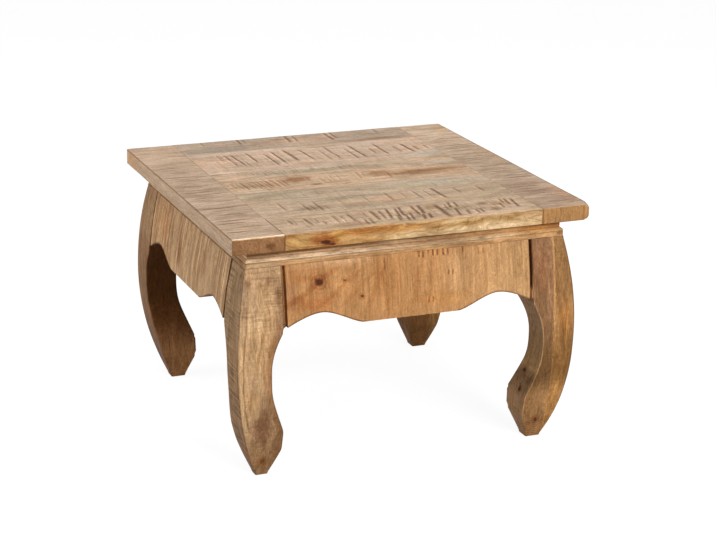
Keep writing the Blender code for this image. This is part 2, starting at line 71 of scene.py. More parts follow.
# Shapes of the legs, aprons and mouldings, the same as in the solids
POST_OUT = 0.27
POST_IN = 0.211
GLUE_PLANE = 0.25
LEG_BACK_LOWER = ((0.0, -0.0233), (0.241, 0.0183), (0.503, 0.018), (0.557, 0.018))
LEG_BACK_UPPER = ((0.557, 0.018), (0.712, 0.018), (0.853, 0.012), (1.0, 0.0))
LEG_FOOT_FRONT = (0.0, 0.0163)
LEG_TOE_LOW = (0.129, -0.0019)
LEG_INSTEP = ((0.226, -0.0019), (0.403, 0.0206), (0.398, 0.0213), (0.521, 0.0213))
LEG_ARCH = ((0.521, 0.0213), (0.584, 0.0213), (0.644, 0.0151), (0.716, 0.0))
LEG_HEAD = (1.0, 0.0)
FULLER_SHARE = 0.48
FULLER_FEET = {"front_left": (0.0, 0.0), "front_right": (0.0016, 0.0034),
               "back_left": (0.0045, 0.0), "back_right": (0.004, 0.0012)}
APRON_DROP = 0.1
APRON_IN = 0.247
APRON_FACE_END = 0.206
APRON_KNEE = 0.716
GROOVE_DEPTH = 0.008
SCALLOP_RISE = ((0.4, 0.0), (0.488, 0.0033), (0.624, 0.0225), (0.724, 0.0225))
SCALLOP_FALL = ((0.724, 0.0225), (0.82, 0.0225), (0.927, 0.012), (1.0, 0.0045))
LIP_HEIGHT = 0.0072
LIP_REACH = 0.0045
SCRIBE_DEPTH = 0.0007
SCRIBE_HEIGHT = 0.001
OVOLO_HEIGHT = 0.0056

# Roundings and joints of the looks
TOP_ARRIS = 0.0012
JOINT_ARRIS = 0.0004
APRON_ARRIS = 0.0012
LEG_ARRIS = 0.0022
TOE_ROUNDING = 0.004
TOP_CORNER = 0.005
WORN_CORNER = 0.0065
JOINT_GAP = 0.00008

# How deep hand sanding leaves a face uneven, and how many waves it has per metre
TOP_WEAR = (0.00025, 22)
RAIL_WEAR = (0.00018, 25)
APRON_WEAR = (0.00022, 20)
LEG_WEAR = (0.0004, 18)

# Steps of the meshes, and how close counts as touching
PLANK_SLICES = 24
END_BOARD_SLICES = 32
CROSS_SLICES = 8
RAIL_SLICES = 30
OVOLO_STEPS = 10
APRON_SLICES = 40
BOW_LEVELS = 16
LAYER = 0.008
LEG_LEVELS = 90
LEG_DIVISIONS = 6
CURVE_STEPS = 24
SLIVER = 0.00003
TOUCH = 1e-6
NEAR = 1e-5
SHARP_ANGLE = radians(40)
SMOOTH_ANGLE = radians(32)


# Mesh helpers

def finish_mesh(name, bm, nodes, material):
    """Turns a bmesh into a smooth-shaded piece that stands for its CAD nodes."""
    bmesh.ops.recalc_face_normals(bm, faces=bm.faces[:])
    mesh = bpy.data.meshes.new(name)
    bm.to_mesh(mesh)
    bm.free()
    mesh.shade_smooth()
    mesh.set_sharp_from_angle(angle=SMOOTH_ANGLE)
    mesh.materials.append(material)
    piece = bpy.data.objects.new(name, mesh)
    bpy.context.collection.objects.link(piece)
    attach(piece, "root")
    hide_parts(*nodes)
    return piece


def box_bmesh(low, high):
    bm = bmesh.new()
    bmesh.ops.create_cube(bm, size=1.0)
    low = Vector(low)
    high = Vector(high)
    bmesh.ops.scale(bm, vec=high - low, verts=bm.verts[:])
    bmesh.ops.translate(bm, vec=(high + low) / 2, verts=bm.verts[:])
    return bm


def cut(bm, place, normal, **sides):
    everything = bm.verts[:] + bm.edges[:] + bm.faces[:]
    return bmesh.ops.bisect_plane(bm, geom=everything, plane_co=place, plane_no=normal, **sides)


def slice_along(bm, axis, start, end, count):
    """Cuts even slices across one axis, so that a board can be bent and worn."""
    normal = Vector((0, 0, 0))
    normal[axis] = 1
    for step in range(1, count):
        cut(bm, normal * (start + (end - start) * step / count), normal)


def draw(bm, faces, move):
    """Draws faces out along a vector and gives the points that moved."""
    extruded = bmesh.ops.extrude_face_region(bm, geom=faces)
    moved = [item for item in extruded["geom"] if isinstance(item, bmesh.types.BMVert)]
    bmesh.ops.translate(bm, vec=move, verts=moved)
    return moved


def turn_round(bm, degrees):
    """Turns a front piece to its own side of the table."""
    matrix = Matrix.Rotation(radians(degrees), 3, "Z")
    bmesh.ops.rotate(bm, cent=(0, 0, 0), matrix=matrix, verts=bm.verts[:])


def ease(bm, edges, width, steps):
    bmesh.ops.bevel(bm, geom=edges, offset=width, offset_type="OFFSET", segments=steps, profile=0.5,
                    affect="EDGES", clamp_overlap=True, material=-1)


def wear(bm, amount, seed):
    """Moves every point a little along its normal, as hand sanding leaves a sawn board."""
    depth, scale = amount
    bm.normal_update()
    shift = Vector((seed * 3.1, seed * 1.7, seed * 2.3))
    moves = [(vert, vert.normal * depth * noise.noise(vert.co * scale + shift)) for vert in bm.verts]
    for vert, move in moves:
        vert.co += move


def curve_points(curve):
    knots = [Vector((share, distance, 0)) for share, distance in curve]
    return [(point.x, point.y) for point in interpolate_bezier(*knots, CURVE_STEPS + 1)]


def value_at(points, place):
    for (start, low), (end, high) in zip(points, points[1:]):
        if place <= end:
            return low + (high - low) * (place - start) / (end - start)
    return points[-1][1]


def softened(points, place):
    """The curve's value with its corners rubbed round, as a sander leaves them."""
    near = [place + TOE_ROUNDING * step for step in (-1, -0.5, 0, 0.5, 1)]
    steps = [min(max(step, points[0][0]), points[-1][0]) for step in near]
    return sum(value_at(points, step) for step in steps) / len(steps)


def leg_faces(toe_fuller, heel_fuller):
    """A leg's outer and inner faces as (height, distance from the table's middle)."""
    back = curve_points(LEG_BACK_LOWER) + curve_points(LEG_BACK_UPPER)[1:]
    curve = curve_points(LEG_INSTEP) + curve_points(LEG_ARCH)[1:]
    front = [LEG_FOOT_FRONT, LEG_TOE_LOW] + curve + [LEG_HEAD]
    outer = [(share * LEG_TOP, POST_OUT + distance + heel_fuller * max(0, 1 - share / FULLER_SHARE))
             for share, distance in back]
    inner = [(share * LEG_TOP, POST_IN + distance - toe_fuller * max(0, 1 - share / FULLER_SHARE))
             for share, distance in front]
    return outer, inner


LEG_FACES = {corner: leg_faces(*fuller) for corner, fuller in FULLER_FEET.items()}
LEG_OUTER = LEG_FACES["front_left"][0]


def sharp_edge(edge):
    return edge.calc_face_angle(0) > SHARP_ANGLE


def edge_height(edge):
    return (edge.verts[0].co.z + edge.verts[1].co.z) / 2


# Pieces of the top

def on_rim(edge):
    """True on the outline of the whole table top."""
    return all(max(abs(vert.co.x), abs(vert.co.y)) > HALF - TOP_CORNER for vert in edge.verts)


def board_bmesh(low, high, along, slices, round_corners=False):
    """A plank with its arrises eased: well rounded on the table's rim, hardly at all at a joint."""
    bm = box_bmesh(low, high)
    if round_corners:
        outside = max(low[0], high[0], key=abs)
        uprights = [edge for edge in bm.edges
                    if all(abs(vert.co.x - outside) < TOUCH for vert in edge.verts)
                    and abs(edge.verts[0].co.z - edge.verts[1].co.z) > TOUCH]
        ease(bm, uprights, TOP_CORNER, 6)
    slice_along(bm, along, low[along], high[along], slices)
    across = 1 - along
    slice_along(bm, across, low[across], high[across], CROSS_SLICES)
    sharp = [edge for edge in bm.edges if sharp_edge(edge)]
    rim = [edge for edge in sharp if on_rim(edge)]
    joints = [edge for edge in sharp if not on_rim(edge) and edge_height(edge) > UNDER_Z]
    ease(bm, rim, TOP_ARRIS, 3)
    joints = [edge for edge in joints if edge.is_valid]
    ease(bm, joints, JOINT_ARRIS, 2)
    return bm


def round_off(bm, corner, radius):
    """Rubs a worn corner of the top to a ball."""
    inward = Vector(-1 if value > 0 else 1 for value in corner[:2])
    for part in (0.3, 0.65, 1.0):
        for height in (UNDER_Z + part * radius, TOP_Z - part * radius):
            cut(bm, (0, 0, height), (0, 0, 1))
    for end, upward in ((UNDER_Z, 1), (TOP_Z, -1)):
        inside = Vector((inward.x, inward.y, upward))
        centre = Vector((*corner, end)) + inside * radius
        for vert in bm.verts:
            away = vert.co - centre
            beyond = all(distance * inner < 0 for distance, inner in zip(away, inside))
            if beyond and away.length > radius:
                vert.co = centre + away.normalized() * radius


def build_planks(woods):
    for number, name in enumerate(PLANK_NAMES, start=1):
        low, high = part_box(name)
        low = (-CORE_HALF + JOINT_GAP, low[1], UNDER_Z)
        high = (CORE_HALF - JOINT_GAP, high[1], TOP_Z)
        bm = board_bmesh(low, high, 0, PLANK_SLICES)
        wear(bm, TOP_WEAR, number)
        finish_mesh(f"plank_{number}", bm, [name], woods[name])


def build_end_boards(woods):
    for side, seed in (("left", 11), ("right", 12)):
        name = f"end_board_{side}"
        low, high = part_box(name)
        bm = board_bmesh(low, high, 1, END_BOARD_SLICES, round_corners=True)
        if side == "right":
            round_off(bm, (HALF, -HALF), WORN_CORNER)
        wear(bm, TOP_WEAR, seed)
        finish_mesh(f"breadboard_{side}", bm, [name], woods[name])


# Moulding frame under the top

def rail_profile():
    """The moulding's section: a lip, a scribed line, a rounded shoulder and a plain band."""
    bottom = RAIL_LOW[2]
    lip_top = bottom + LIP_HEIGHT
    band_face = LIP_FACE - LIP_REACH
    shoulder = lip_top + SCRIBE_HEIGHT
    profile = [(RAIL_IN, bottom), (LIP_FACE, bottom), (LIP_FACE, lip_top),
               (LIP_FACE - SCRIBE_DEPTH, lip_top + SCRIBE_HEIGHT / 2)]
    for step in range(OVOLO_STEPS + 1):
        angle = pi / 2 * step / OVOLO_STEPS
        profile.append((band_face + LIP_REACH * cos(angle), shoulder + OVOLO_HEIGHT * sin(angle)))
    return profile + [(band_face, RAIL_HIGH[2]), (RAIL_IN, RAIL_HIGH[2])]


def build_mouldings(woods):
    for side, turn in SIDES.items():
        bm = bmesh.new()
        face = bm.faces.new([bm.verts.new((-1, -distance, height)) for distance, height in rail_profile()])
        draw(bm, [face], (2, 0, 0))
        slice_along(bm, 0, -1, 1, RAIL_SLICES)
        for vert in bm.verts:
            vert.co.x *= -vert.co.y - JOINT_GAP
        wear(bm, RAIL_WEAR, turn / 90 + 20)
        turn_round(bm, turn)
        name = f"moulding_{side}"
        finish_mesh(f"frame_rail_{side}", bm, [name], woods[name])


# Aprons

def scallop_edge():
    points = curve_points(SCALLOP_RISE) + curve_points(SCALLOP_FALL)[1:]
    base = LEG_TOP - APRON_DROP
    return [(share * APRON_FACE_END, base + rise) for share, rise in points]


def behind_face(vert):
    """How far a point of the apron lies behind its bowed face."""
    return vert.co.y + softened(LEG_OUTER, vert.co.z)


def apron_bmesh():
    """A front apron: its outline drawn out in two layers, cut into levels and bowed like the legs."""
    right = scallop_edge()
    left = [(-x, z) for x, z in reversed(right)]
    outline = left + right + [(APRON_FACE_END, LEG_TOP), (-APRON_FACE_END, LEG_TOP)]
    bm = bmesh.new()
    back = bm.faces.new([bm.verts.new((x, -APRON_IN, z)) for x, z in outline])
    draw(bm, [back], (0, -LAYER, 0))
    between_layers = min(bm.faces, key=lambda face: face.calc_center_median().y)
    draw(bm, [between_layers], (0, -LAYER, 0))
    bmesh.ops.delete(bm, geom=[between_layers], context="FACES_ONLY")
    slice_along(bm, 2, LEG_TOP - APRON_DROP, LEG_TOP, BOW_LEVELS)
    slice_along(bm, 0, -APRON_FACE_END, APRON_FACE_END, APRON_SLICES)
    for vert in bm.verts:
        layer = round((-APRON_IN - vert.co.y) / LAYER)
        if layer:
            vert.co.y = -softened(LEG_OUTER, vert.co.z) + (GROOVE_DEPTH if layer == 1 else 0)
    front = [edge for edge in bm.edges if sharp_edge(edge)
             and all(abs(behind_face(vert)) < NEAR for vert in edge.verts)
             and edge_height(edge) < LEG_TOP - NEAR]
    extend_shoulders(bm)
    ease(bm, front, APRON_ARRIS, 3)
    bmesh.ops.remove_doubles(bm, verts=bm.verts[:], dist=SLIVER)
    return bm


def extend_shoulders(bm):
    """Carries the back layer of both ends on to the legs, which leaves the dark groove beside each leg."""
    reach = POST_IN - APRON_FACE_END - JOINT_GAP
    knee = APRON_KNEE * LEG_TOP
    for side in (-1, 1):
        ends = [face for face in bm.faces
                if all(abs(vert.co.x - side * APRON_FACE_END) < TOUCH for vert in face.verts)
                and all(behind_face(vert) > GROOVE_DEPTH - NEAR for vert in face.verts)]
        lowest = min(vert.co.z for face in ends for vert in face.verts)
        for vert in draw(bm, ends, (side * reach, 0, 0)):
            if vert.co.z < lowest + TOUCH:
                vert.co.z = knee
        bmesh.ops.delete(bm, geom=ends, context="FACES_ONLY")


def store_edge_heights(mesh, axis):
    """Notes how high each point lies above the scalloped edge."""
    edge = scallop_edge()
    layer = mesh.attributes.new("above_edge", "FLOAT", "POINT")
    for item, vert in zip(layer.data, mesh.vertices):
        item.value = vert.co.z - value_at(edge, abs(vert.co[axis]))


def build_aprons(woods):
    for side, turn in SIDES.items():
        bm = apron_bmesh()
        wear(bm, APRON_WEAR, turn / 90 + 30)
        turn_round(bm, turn)
        name = f"apron_{side}"
        piece = finish_mesh(f"skirt_{side}", bm, [name], woods[name])
        store_edge_heights(piece.data, 0 if side in ("front", "back") else 1)


# Legs

def leg_bmesh(outer, inner):
    """A whole leg at the back right corner: a block cut into levels and shaped to both sawn curves."""
    bm = box_bmesh((0, 0, 0), (1, 1, 1))
    slice_along(bm, 2, 0, 1, LEG_LEVELS)
    for axis in (0, 1):
        slice_along(bm, axis, 0, 1, LEG_DIVISIONS)
    arrises = [edge for edge in bm.edges if sharp_edge(edge)
               and all(vert.co.x in (0, 1) and vert.co.y in (0, 1) for vert in edge.verts)]
    for vert in bm.verts:
        height = vert.co.z * LEG_TOP
        near = softened(inner, height)
        far = softened(outer, height)
        vert.co = (near + (far - near) * vert.co.x, near + (far - near) * vert.co.y, height)
    ease(bm, arrises, LEG_ARRIS, 3)
    return bm


def leg_half(whole, keep_outer):
    """One of a leg's two boards, cut from the whole leg at its glue line."""
    bm = whole.copy()
    place = GLUE_PLANE + (JOINT_GAP if keep_outer else -JOINT_GAP)
    sawn = cut(bm, (place, 0, 0), (1, 0, 0), clear_inner=keep_outer, clear_outer=not keep_outer)
    rim = [item for item in sawn["geom_cut"] if isinstance(item, bmesh.types.BMEdge)]
    bmesh.ops.contextual_create(bm, geom=rim)
    return bm


def store_leg_places(mesh, outer, inner):
    """Notes where each point lies across its leg, from 0 at the inner face to 1 at the outer face."""
    layer = mesh.attributes.new("across_leg", "FLOAT_VECTOR", "POINT")
    for item, vert in zip(layer.data, mesh.vertices):
        near = softened(inner, vert.co.z)
        width = softened(outer, vert.co.z) - near
        item.vector = ((abs(vert.co.x) - near) / width, (abs(vert.co.y) - near) / width, 0)


def build_legs(woods):
    for number, corner in enumerate(CORNERS):
        signs = Vector((1 if corner.endswith("right") else -1, 1 if corner.startswith("back") else -1, 1))
        whole = leg_bmesh(*LEG_FACES[corner])
        wear(whole, LEG_WEAR, number + 40)
        for vert in whole.verts:
            vert.co.z = max(vert.co.z, 0.0)
        for board, keep_outer in (("inner", False), ("outer", True)):
            bm = leg_half(whole, keep_outer)
            bmesh.ops.scale(bm, vec=signs, verts=bm.verts[:])
            name = f"leg_{corner}_{board}_board"
            look = woods[name]
            piece = finish_mesh(f"curved_leg_{corner}_{board}", bm, [name], look)
            store_leg_places(piece.data, *LEG_FACES[corner])
        whole.free()


# Shader helpers

class Value:
    """What a node puts out. Sums and products of values become Math nodes."""

    def __init__(self, socket):
        self.socket = socket
        self.tree = socket.id_data

    def __add__(self, other):
        return calc("ADD", self, other)

    def __radd__(self, other):
        return calc("ADD", other, self)

    def __sub__(self, other):
        return calc("SUBTRACT", self, other)

    def __mul__(self, other):
        return calc("MULTIPLY", self, other)

    def __truediv__(self, other):
        return calc("DIVIDE", self, other)

    def __rtruediv__(self, other):
        return calc("DIVIDE", other, self)


def put(socket, value):
    """Links an input to a value, or sets it to a constant; a colour needs no alpha."""
    if isinstance(value, Value):
        value.tree.links.new(value.socket, socket)
    elif socket.type == "RGBA":
        socket.default_value = (*value, 1.0)
    else:
        socket.default_value = value


def add(tree, kind, inputs=None, **settings):
    node = tree.nodes.new(kind)
    for key, value in settings.items():
        setattr(node, key, value)
    for key, value in (inputs or {}).items():
        put(node.inputs[key], value)
    return node


def node_value(tree, kind, inputs=None, output=0, **settings):
    return Value(add(tree, kind, inputs, **settings).outputs[output])


def tree_of(values):
    """The node tree that the first value in a row belongs to."""
    return next(value.tree for value in values if isinstance(value, Value))


def calc(operation, *values, clamp=False):
    inputs = dict(enumerate(values))
    return node_value(tree_of(values), "ShaderNodeMath", inputs, operation=operation, use_clamp=clamp)


def absolute(value):
    return calc("ABSOLUTE", value)


def vector_calc(operation, *values):
    output = "Value" if operation == "LENGTH" else "Vector"
    inputs = dict(enumerate(values))
    return node_value(tree_of(values), "ShaderNodeVectorMath", inputs, output, operation=operation)


def combine(x, y, z):
    return node_value(x.tree, "ShaderNodeCombineXYZ", {"X": x, "Y": y, "Z": z})


def xyz(vector):
    node = add(vector.tree, "ShaderNodeSeparateXYZ", {"Vector": vector})
    return {axis: Value(node.outputs[axis]) for axis in "XYZ"}


def fade(value, start, end, low=0.0, high=1.0):
    """Goes smoothly from low to high as the value goes from start to end."""
    inputs = {"Value": value, "From Min": start, "From Max": end, "To Min": low, "To Max": high}
    return node_value(value.tree, "ShaderNodeMapRange", inputs, interpolation_type="SMOOTHSTEP")


def between(value, low, high, soft):
    """A mask of the values between two limits, with soft ends."""
    return fade(value, low - soft, low + soft) * fade(value, high + soft, high - soft)


def swing(value, amount):
    """A factor that follows a noise, to both sides of 1."""
    return fade(value, 0.28, 0.72, 1.0 - amount, 1.0 + amount)


def mix(factor, first, second, blend="MIX"):
    inputs = {0: factor, 6: first, 7: second}
    tree = tree_of(inputs.values())
    return node_value(tree, "ShaderNodeMix", inputs, 2, data_type="RGBA", blend_type=blend)


def mix_value(factor, first, second):
    inputs = {0: factor, 2: first, 3: second}
    return node_value(factor.tree, "ShaderNodeMix", inputs, data_type="FLOAT")


def noise_value(vector, scale, detail=3.0, roughness=0.55):
    inputs = {"Vector": vector, "Scale": scale, "Detail": detail, "Roughness": roughness}
    return node_value(vector.tree, "ShaderNodeTexNoise", inputs, "Fac")


def stretched_noise(vector, scale, detail=3.0, roughness=0.55):
    """Noise with a scale of its own along each axis."""
    return noise_value(vector_calc("MULTIPLY", vector, scale), 1.0, detail, roughness)


def new_group(name, inputs, outputs):
    """A shader node group. An input with a default is a number, one without is a vector."""
    tree = bpy.data.node_groups.new(name, "ShaderNodeTree")
    for label, default in inputs.items():
        kind = "NodeSocketVector" if default is None else "NodeSocketFloat"
        socket = tree.interface.new_socket(name=label, in_out="INPUT", socket_type=kind)
        if default is not None:
            socket.default_value = default
    for label in outputs:
        tree.interface.new_socket(name=label, in_out="OUTPUT", socket_type="NodeSocketFloat")
    start = tree.nodes.new("NodeGroupInput")
    end = tree.nodes.new("NodeGroupOutput")
    return tree, {label: Value(start.outputs[label]) for label in inputs}, end.inputs


def use_group(group, inputs):
    node = add(tree_of(inputs.values()), "ShaderNodeGroup", inputs, node_tree=group)
    return {socket.name: Value(socket) for socket in node.outputs}


# Effects that the woods share

FIGURE_LAYERS = {"Clouds": ((6.0, 20.0, 20.0), 3.0), "Smudges": ((15.0, 80.0, 80.0), 3.0),
                 "Streaks": ((10.0, 270.0, 270.0), 3.0), "Fibres": ((55.0, 480.0, 480.0), 2.0),
                 "Grit": ((270.0, 330.0, 330.0), 3.0)}


def grain_group():
    """Wood figure in board space, with X along the grain, from slow clouds down to fibres and pores."""
    tree, given, out = new_group("wood figure", {"Vector": None, "Seed": 0.0, "Wander": 0.02},
                                 (*FIGURE_LAYERS, "Pores"))
    seed = given["Seed"]
    place = vector_calc("ADD", given["Vector"], combine(seed, seed * 0.37, seed * 0.61))
    slow = {"Vector": vector_calc("MULTIPLY", place, (9.0, 26.0, 26.0)), "Scale": 1.0, "Detail": 2.0}
    drift = node_value(tree, "ShaderNodeTexNoise", slow, "Color")
    drift = {0: vector_calc("SUBTRACT", drift, (0.5, 0.5, 0.5)), "Scale": given["Wander"]}
    bent = vector_calc("ADD", place, node_value(tree, "ShaderNodeVectorMath", drift, operation="SCALE"))
    for name, (scale, detail) in FIGURE_LAYERS.items():
        put(out[name], stretched_noise(bent, scale, detail, 0.6))
    put(out["Pores"], fade(stretched_noise(bent, (80.0, 620.0, 620.0), 1.0, 0.4), 0.6, 0.72))
    return tree


def stroke_group():
    """Band-saw strokes: lines across a board at uneven steps, each with its own length and width."""
    inputs = {"Along": 0.0, "Across": 0.0, "Spacing": 0.02, "Width": 0.002, "Centre": 0.0, "Reach": 0.04,
              "Density": 0.7, "Seed": 0.0}
    tree, given, out = new_group("saw strokes", inputs, ("Strokes",))
    along, across, spacing, width, centre, reach, density, seed = given.values()
    bend = (noise_value(combine(along * 30.0, across * 25.0, seed), 1.0, 2.0) - 0.5) * 0.01
    steps = {"W": (along + bend) / spacing + seed, "Scale": 1.0, "Randomness": 0.9}
    cells = add(tree, "ShaderNodeTexVoronoi", steps, voronoi_dimensions="1D", feature="F1").outputs
    chance = add(tree, "ShaderNodeSeparateColor", {"Color": Value(cells["Color"])}).outputs
    red, green, blue = (Value(socket) for socket in chance)
    width = width * fade(blue, 0.0, 1.0, 0.6, 1.2)
    line = fade(Value(cells["Distance"]) * spacing, width, width * 0.3)
    away = absolute(across - centre - (green - 0.5) * reach)
    reach = reach * fade(blue, 0.0, 1.0, 0.55, 1.0)
    within = fade(away, reach, reach * 0.5)
    grit = noise_value(combine(along * 300.0, across * 90.0, 0.0), 1.0, 2.0)
    broken = fade(grit, 0.25, 0.6, 0.35, 1.0)
    put(out["Strokes"], line * within * (calc("LESS_THAN", red, density) * broken))
    return tree


def ripple_group():
    """Fine saw lines that run across a board, a few millimetres apart, fading in and out."""
    inputs = {"Along": 0.0, "Across": 0.0, "Depth": 0.0, "Pitch": 0.003, "Wave": 0.0}
    tree, given, out = new_group("saw ripple", inputs, ("Lines",))
    along, across, depth, pitch, wave = given.values()
    slow = combine(along * 16.0, across * 22.0, depth * 16.0)
    sway = (noise_value(slow, 1.0, 2.0) - 0.5) * wave
    fine = combine((along + sway) * (1.0 / pitch), across * 14.0, depth * 14.0)
    lines = noise_value(fine, 1.0, 2.0, 0.6)
    elsewhere = vector_calc("ADD", slow, (7.0, 3.0, 5.0))
    gate = fade(noise_value(elsewhere, 1.0, 2.0), 0.36, 0.62, 0.1, 1.0)
    put(out["Lines"], (lines - 0.5) * gate + 0.5)
    return tree


def oval_distance(given, noise_scale, detail, roughness, ragged):
    """How far a place lies from an oval's centre, in half sizes, with a ragged outline."""
    away = vector_calc("SUBTRACT", given["Vector"], given["Centre"])
    away = vector_calc("DIVIDE", away, given["Size"])
    return vector_calc("LENGTH", away) + (noise_value(away, noise_scale, detail, roughness) - 0.5) * ragged


def patch_group():
    """A soft, ragged oval: heartwood, a stain or a worn place."""
    inputs = {"Vector": None, "Centre": None, "Size": None, "Ragged": 0.5}
    tree, given, out = new_group("oval patch", inputs, ("Mask",))
    far = oval_distance(given, 1.6, 4.0, 0.6, given["Ragged"] * 2.0)
    put(out["Mask"], fade(far, 1.15, 0.25))
    return tree


def knot_group():
    """A knot: a dark heart, rings round it and a warm halo."""
    inputs = {"Vector": None, "Centre": None, "Size": None}
    tree, given, out = new_group("knot", inputs, ("Heart", "Halo"))
    far = oval_distance(given, 1.1, 3.0, 0.55, 1.3)
    rings = fade(calc("SINE", far * 9.0), -1.0, 1.0, 0.45, 1.0)
    put(out["Heart"], fade(far, 1.15, 0.55))
    put(out["Halo"], fade(far, 3.0, 0.9) * rings)
    return tree


def mark_group():
    """A single saw mark at a known place, with the pale rim that the saw leaves beside it."""
    inputs = {"Along": 0.0, "Across": 0.0, "Place": 0.0, "Middle": 0.0, "Half": 0.03, "Lean": 0.0,
              "Width": 0.002}
    tree, given, out = new_group("saw mark", inputs, ("Mask", "Rim"))
    along, across, place, middle, half, lean, width = given.values()
    offset = across - middle
    away = along - (place + lean * offset)
    within = fade(absolute(offset), half, half * 0.5)
    inner = width * 0.3
    put(out["Mask"], fade(absolute(away), width, inner) * within)
    put(out["Rim"], fade(absolute(away + width * 1.7), width, inner) * within)
    return tree


GRAIN = grain_group()
STROKES = stroke_group()
MARK = mark_group()
RIPPLE = ripple_group()
PATCH = patch_group()
KNOT = knot_group()
# Saw marks are drawn a little finer than their measured width
MARK_FINENESS = 0.95
GRAIN_TURN = {"X": (0, 0, 0), "Y": (0, 0, -pi / 2), "Z": (0, pi / 2, 0)}
TOP_FACE = TOP_Z - 0.0022
PATCH_DEPTH = 0.02
RIM_FADE = 0.0008
LEG_FADE = 0.02
STROKE_FADE = 0.008
BAND_WOBBLE = 0.12
MARK_WOBBLE = 0.0034
BUMP_STRENGTH = 0.6
BUMP_DEPTH = 0.0006
SAW_STAIN = (0.38, 0.27, 0.22)
SAW_RIM = (1.22, 1.17, 1.14)
PORE_STAIN = (0.4, 0.3, 0.22)
KNOT_HALO = (0.62, 0.38, 0.24)
KNOT_HEART = (0.085, 0.026, 0.01)


def metres(millimetres):
    return tuple(value / 1000 for value in millimetres)


def saw_mark(along, across, place, middle, half, width, strength, lean=0.0):
    """Masks of one saw mark and of its pale rim."""
    place, middle, half, width = metres((place, middle, half, width * MARK_FINENESS))
    mark = use_group(MARK, {"Along": along, "Across": across, "Place": place, "Middle": middle,
                            "Half": half, "Lean": lean, "Width": width})
    return mark["Mask"] * strength, mark["Rim"] * strength


def toned(base, contrast):
    """A light and a dark wood on both sides of a colour; the dark one is warmer."""
    light = tuple(value * (1 + contrast) * warm for value, warm in zip(base, (0.98, 1.0, 1.03)))
    dark = tuple(value * (1 - contrast) * warm for value, warm in zip(base, (1.04, 0.98, 0.9)))
    return light, dark


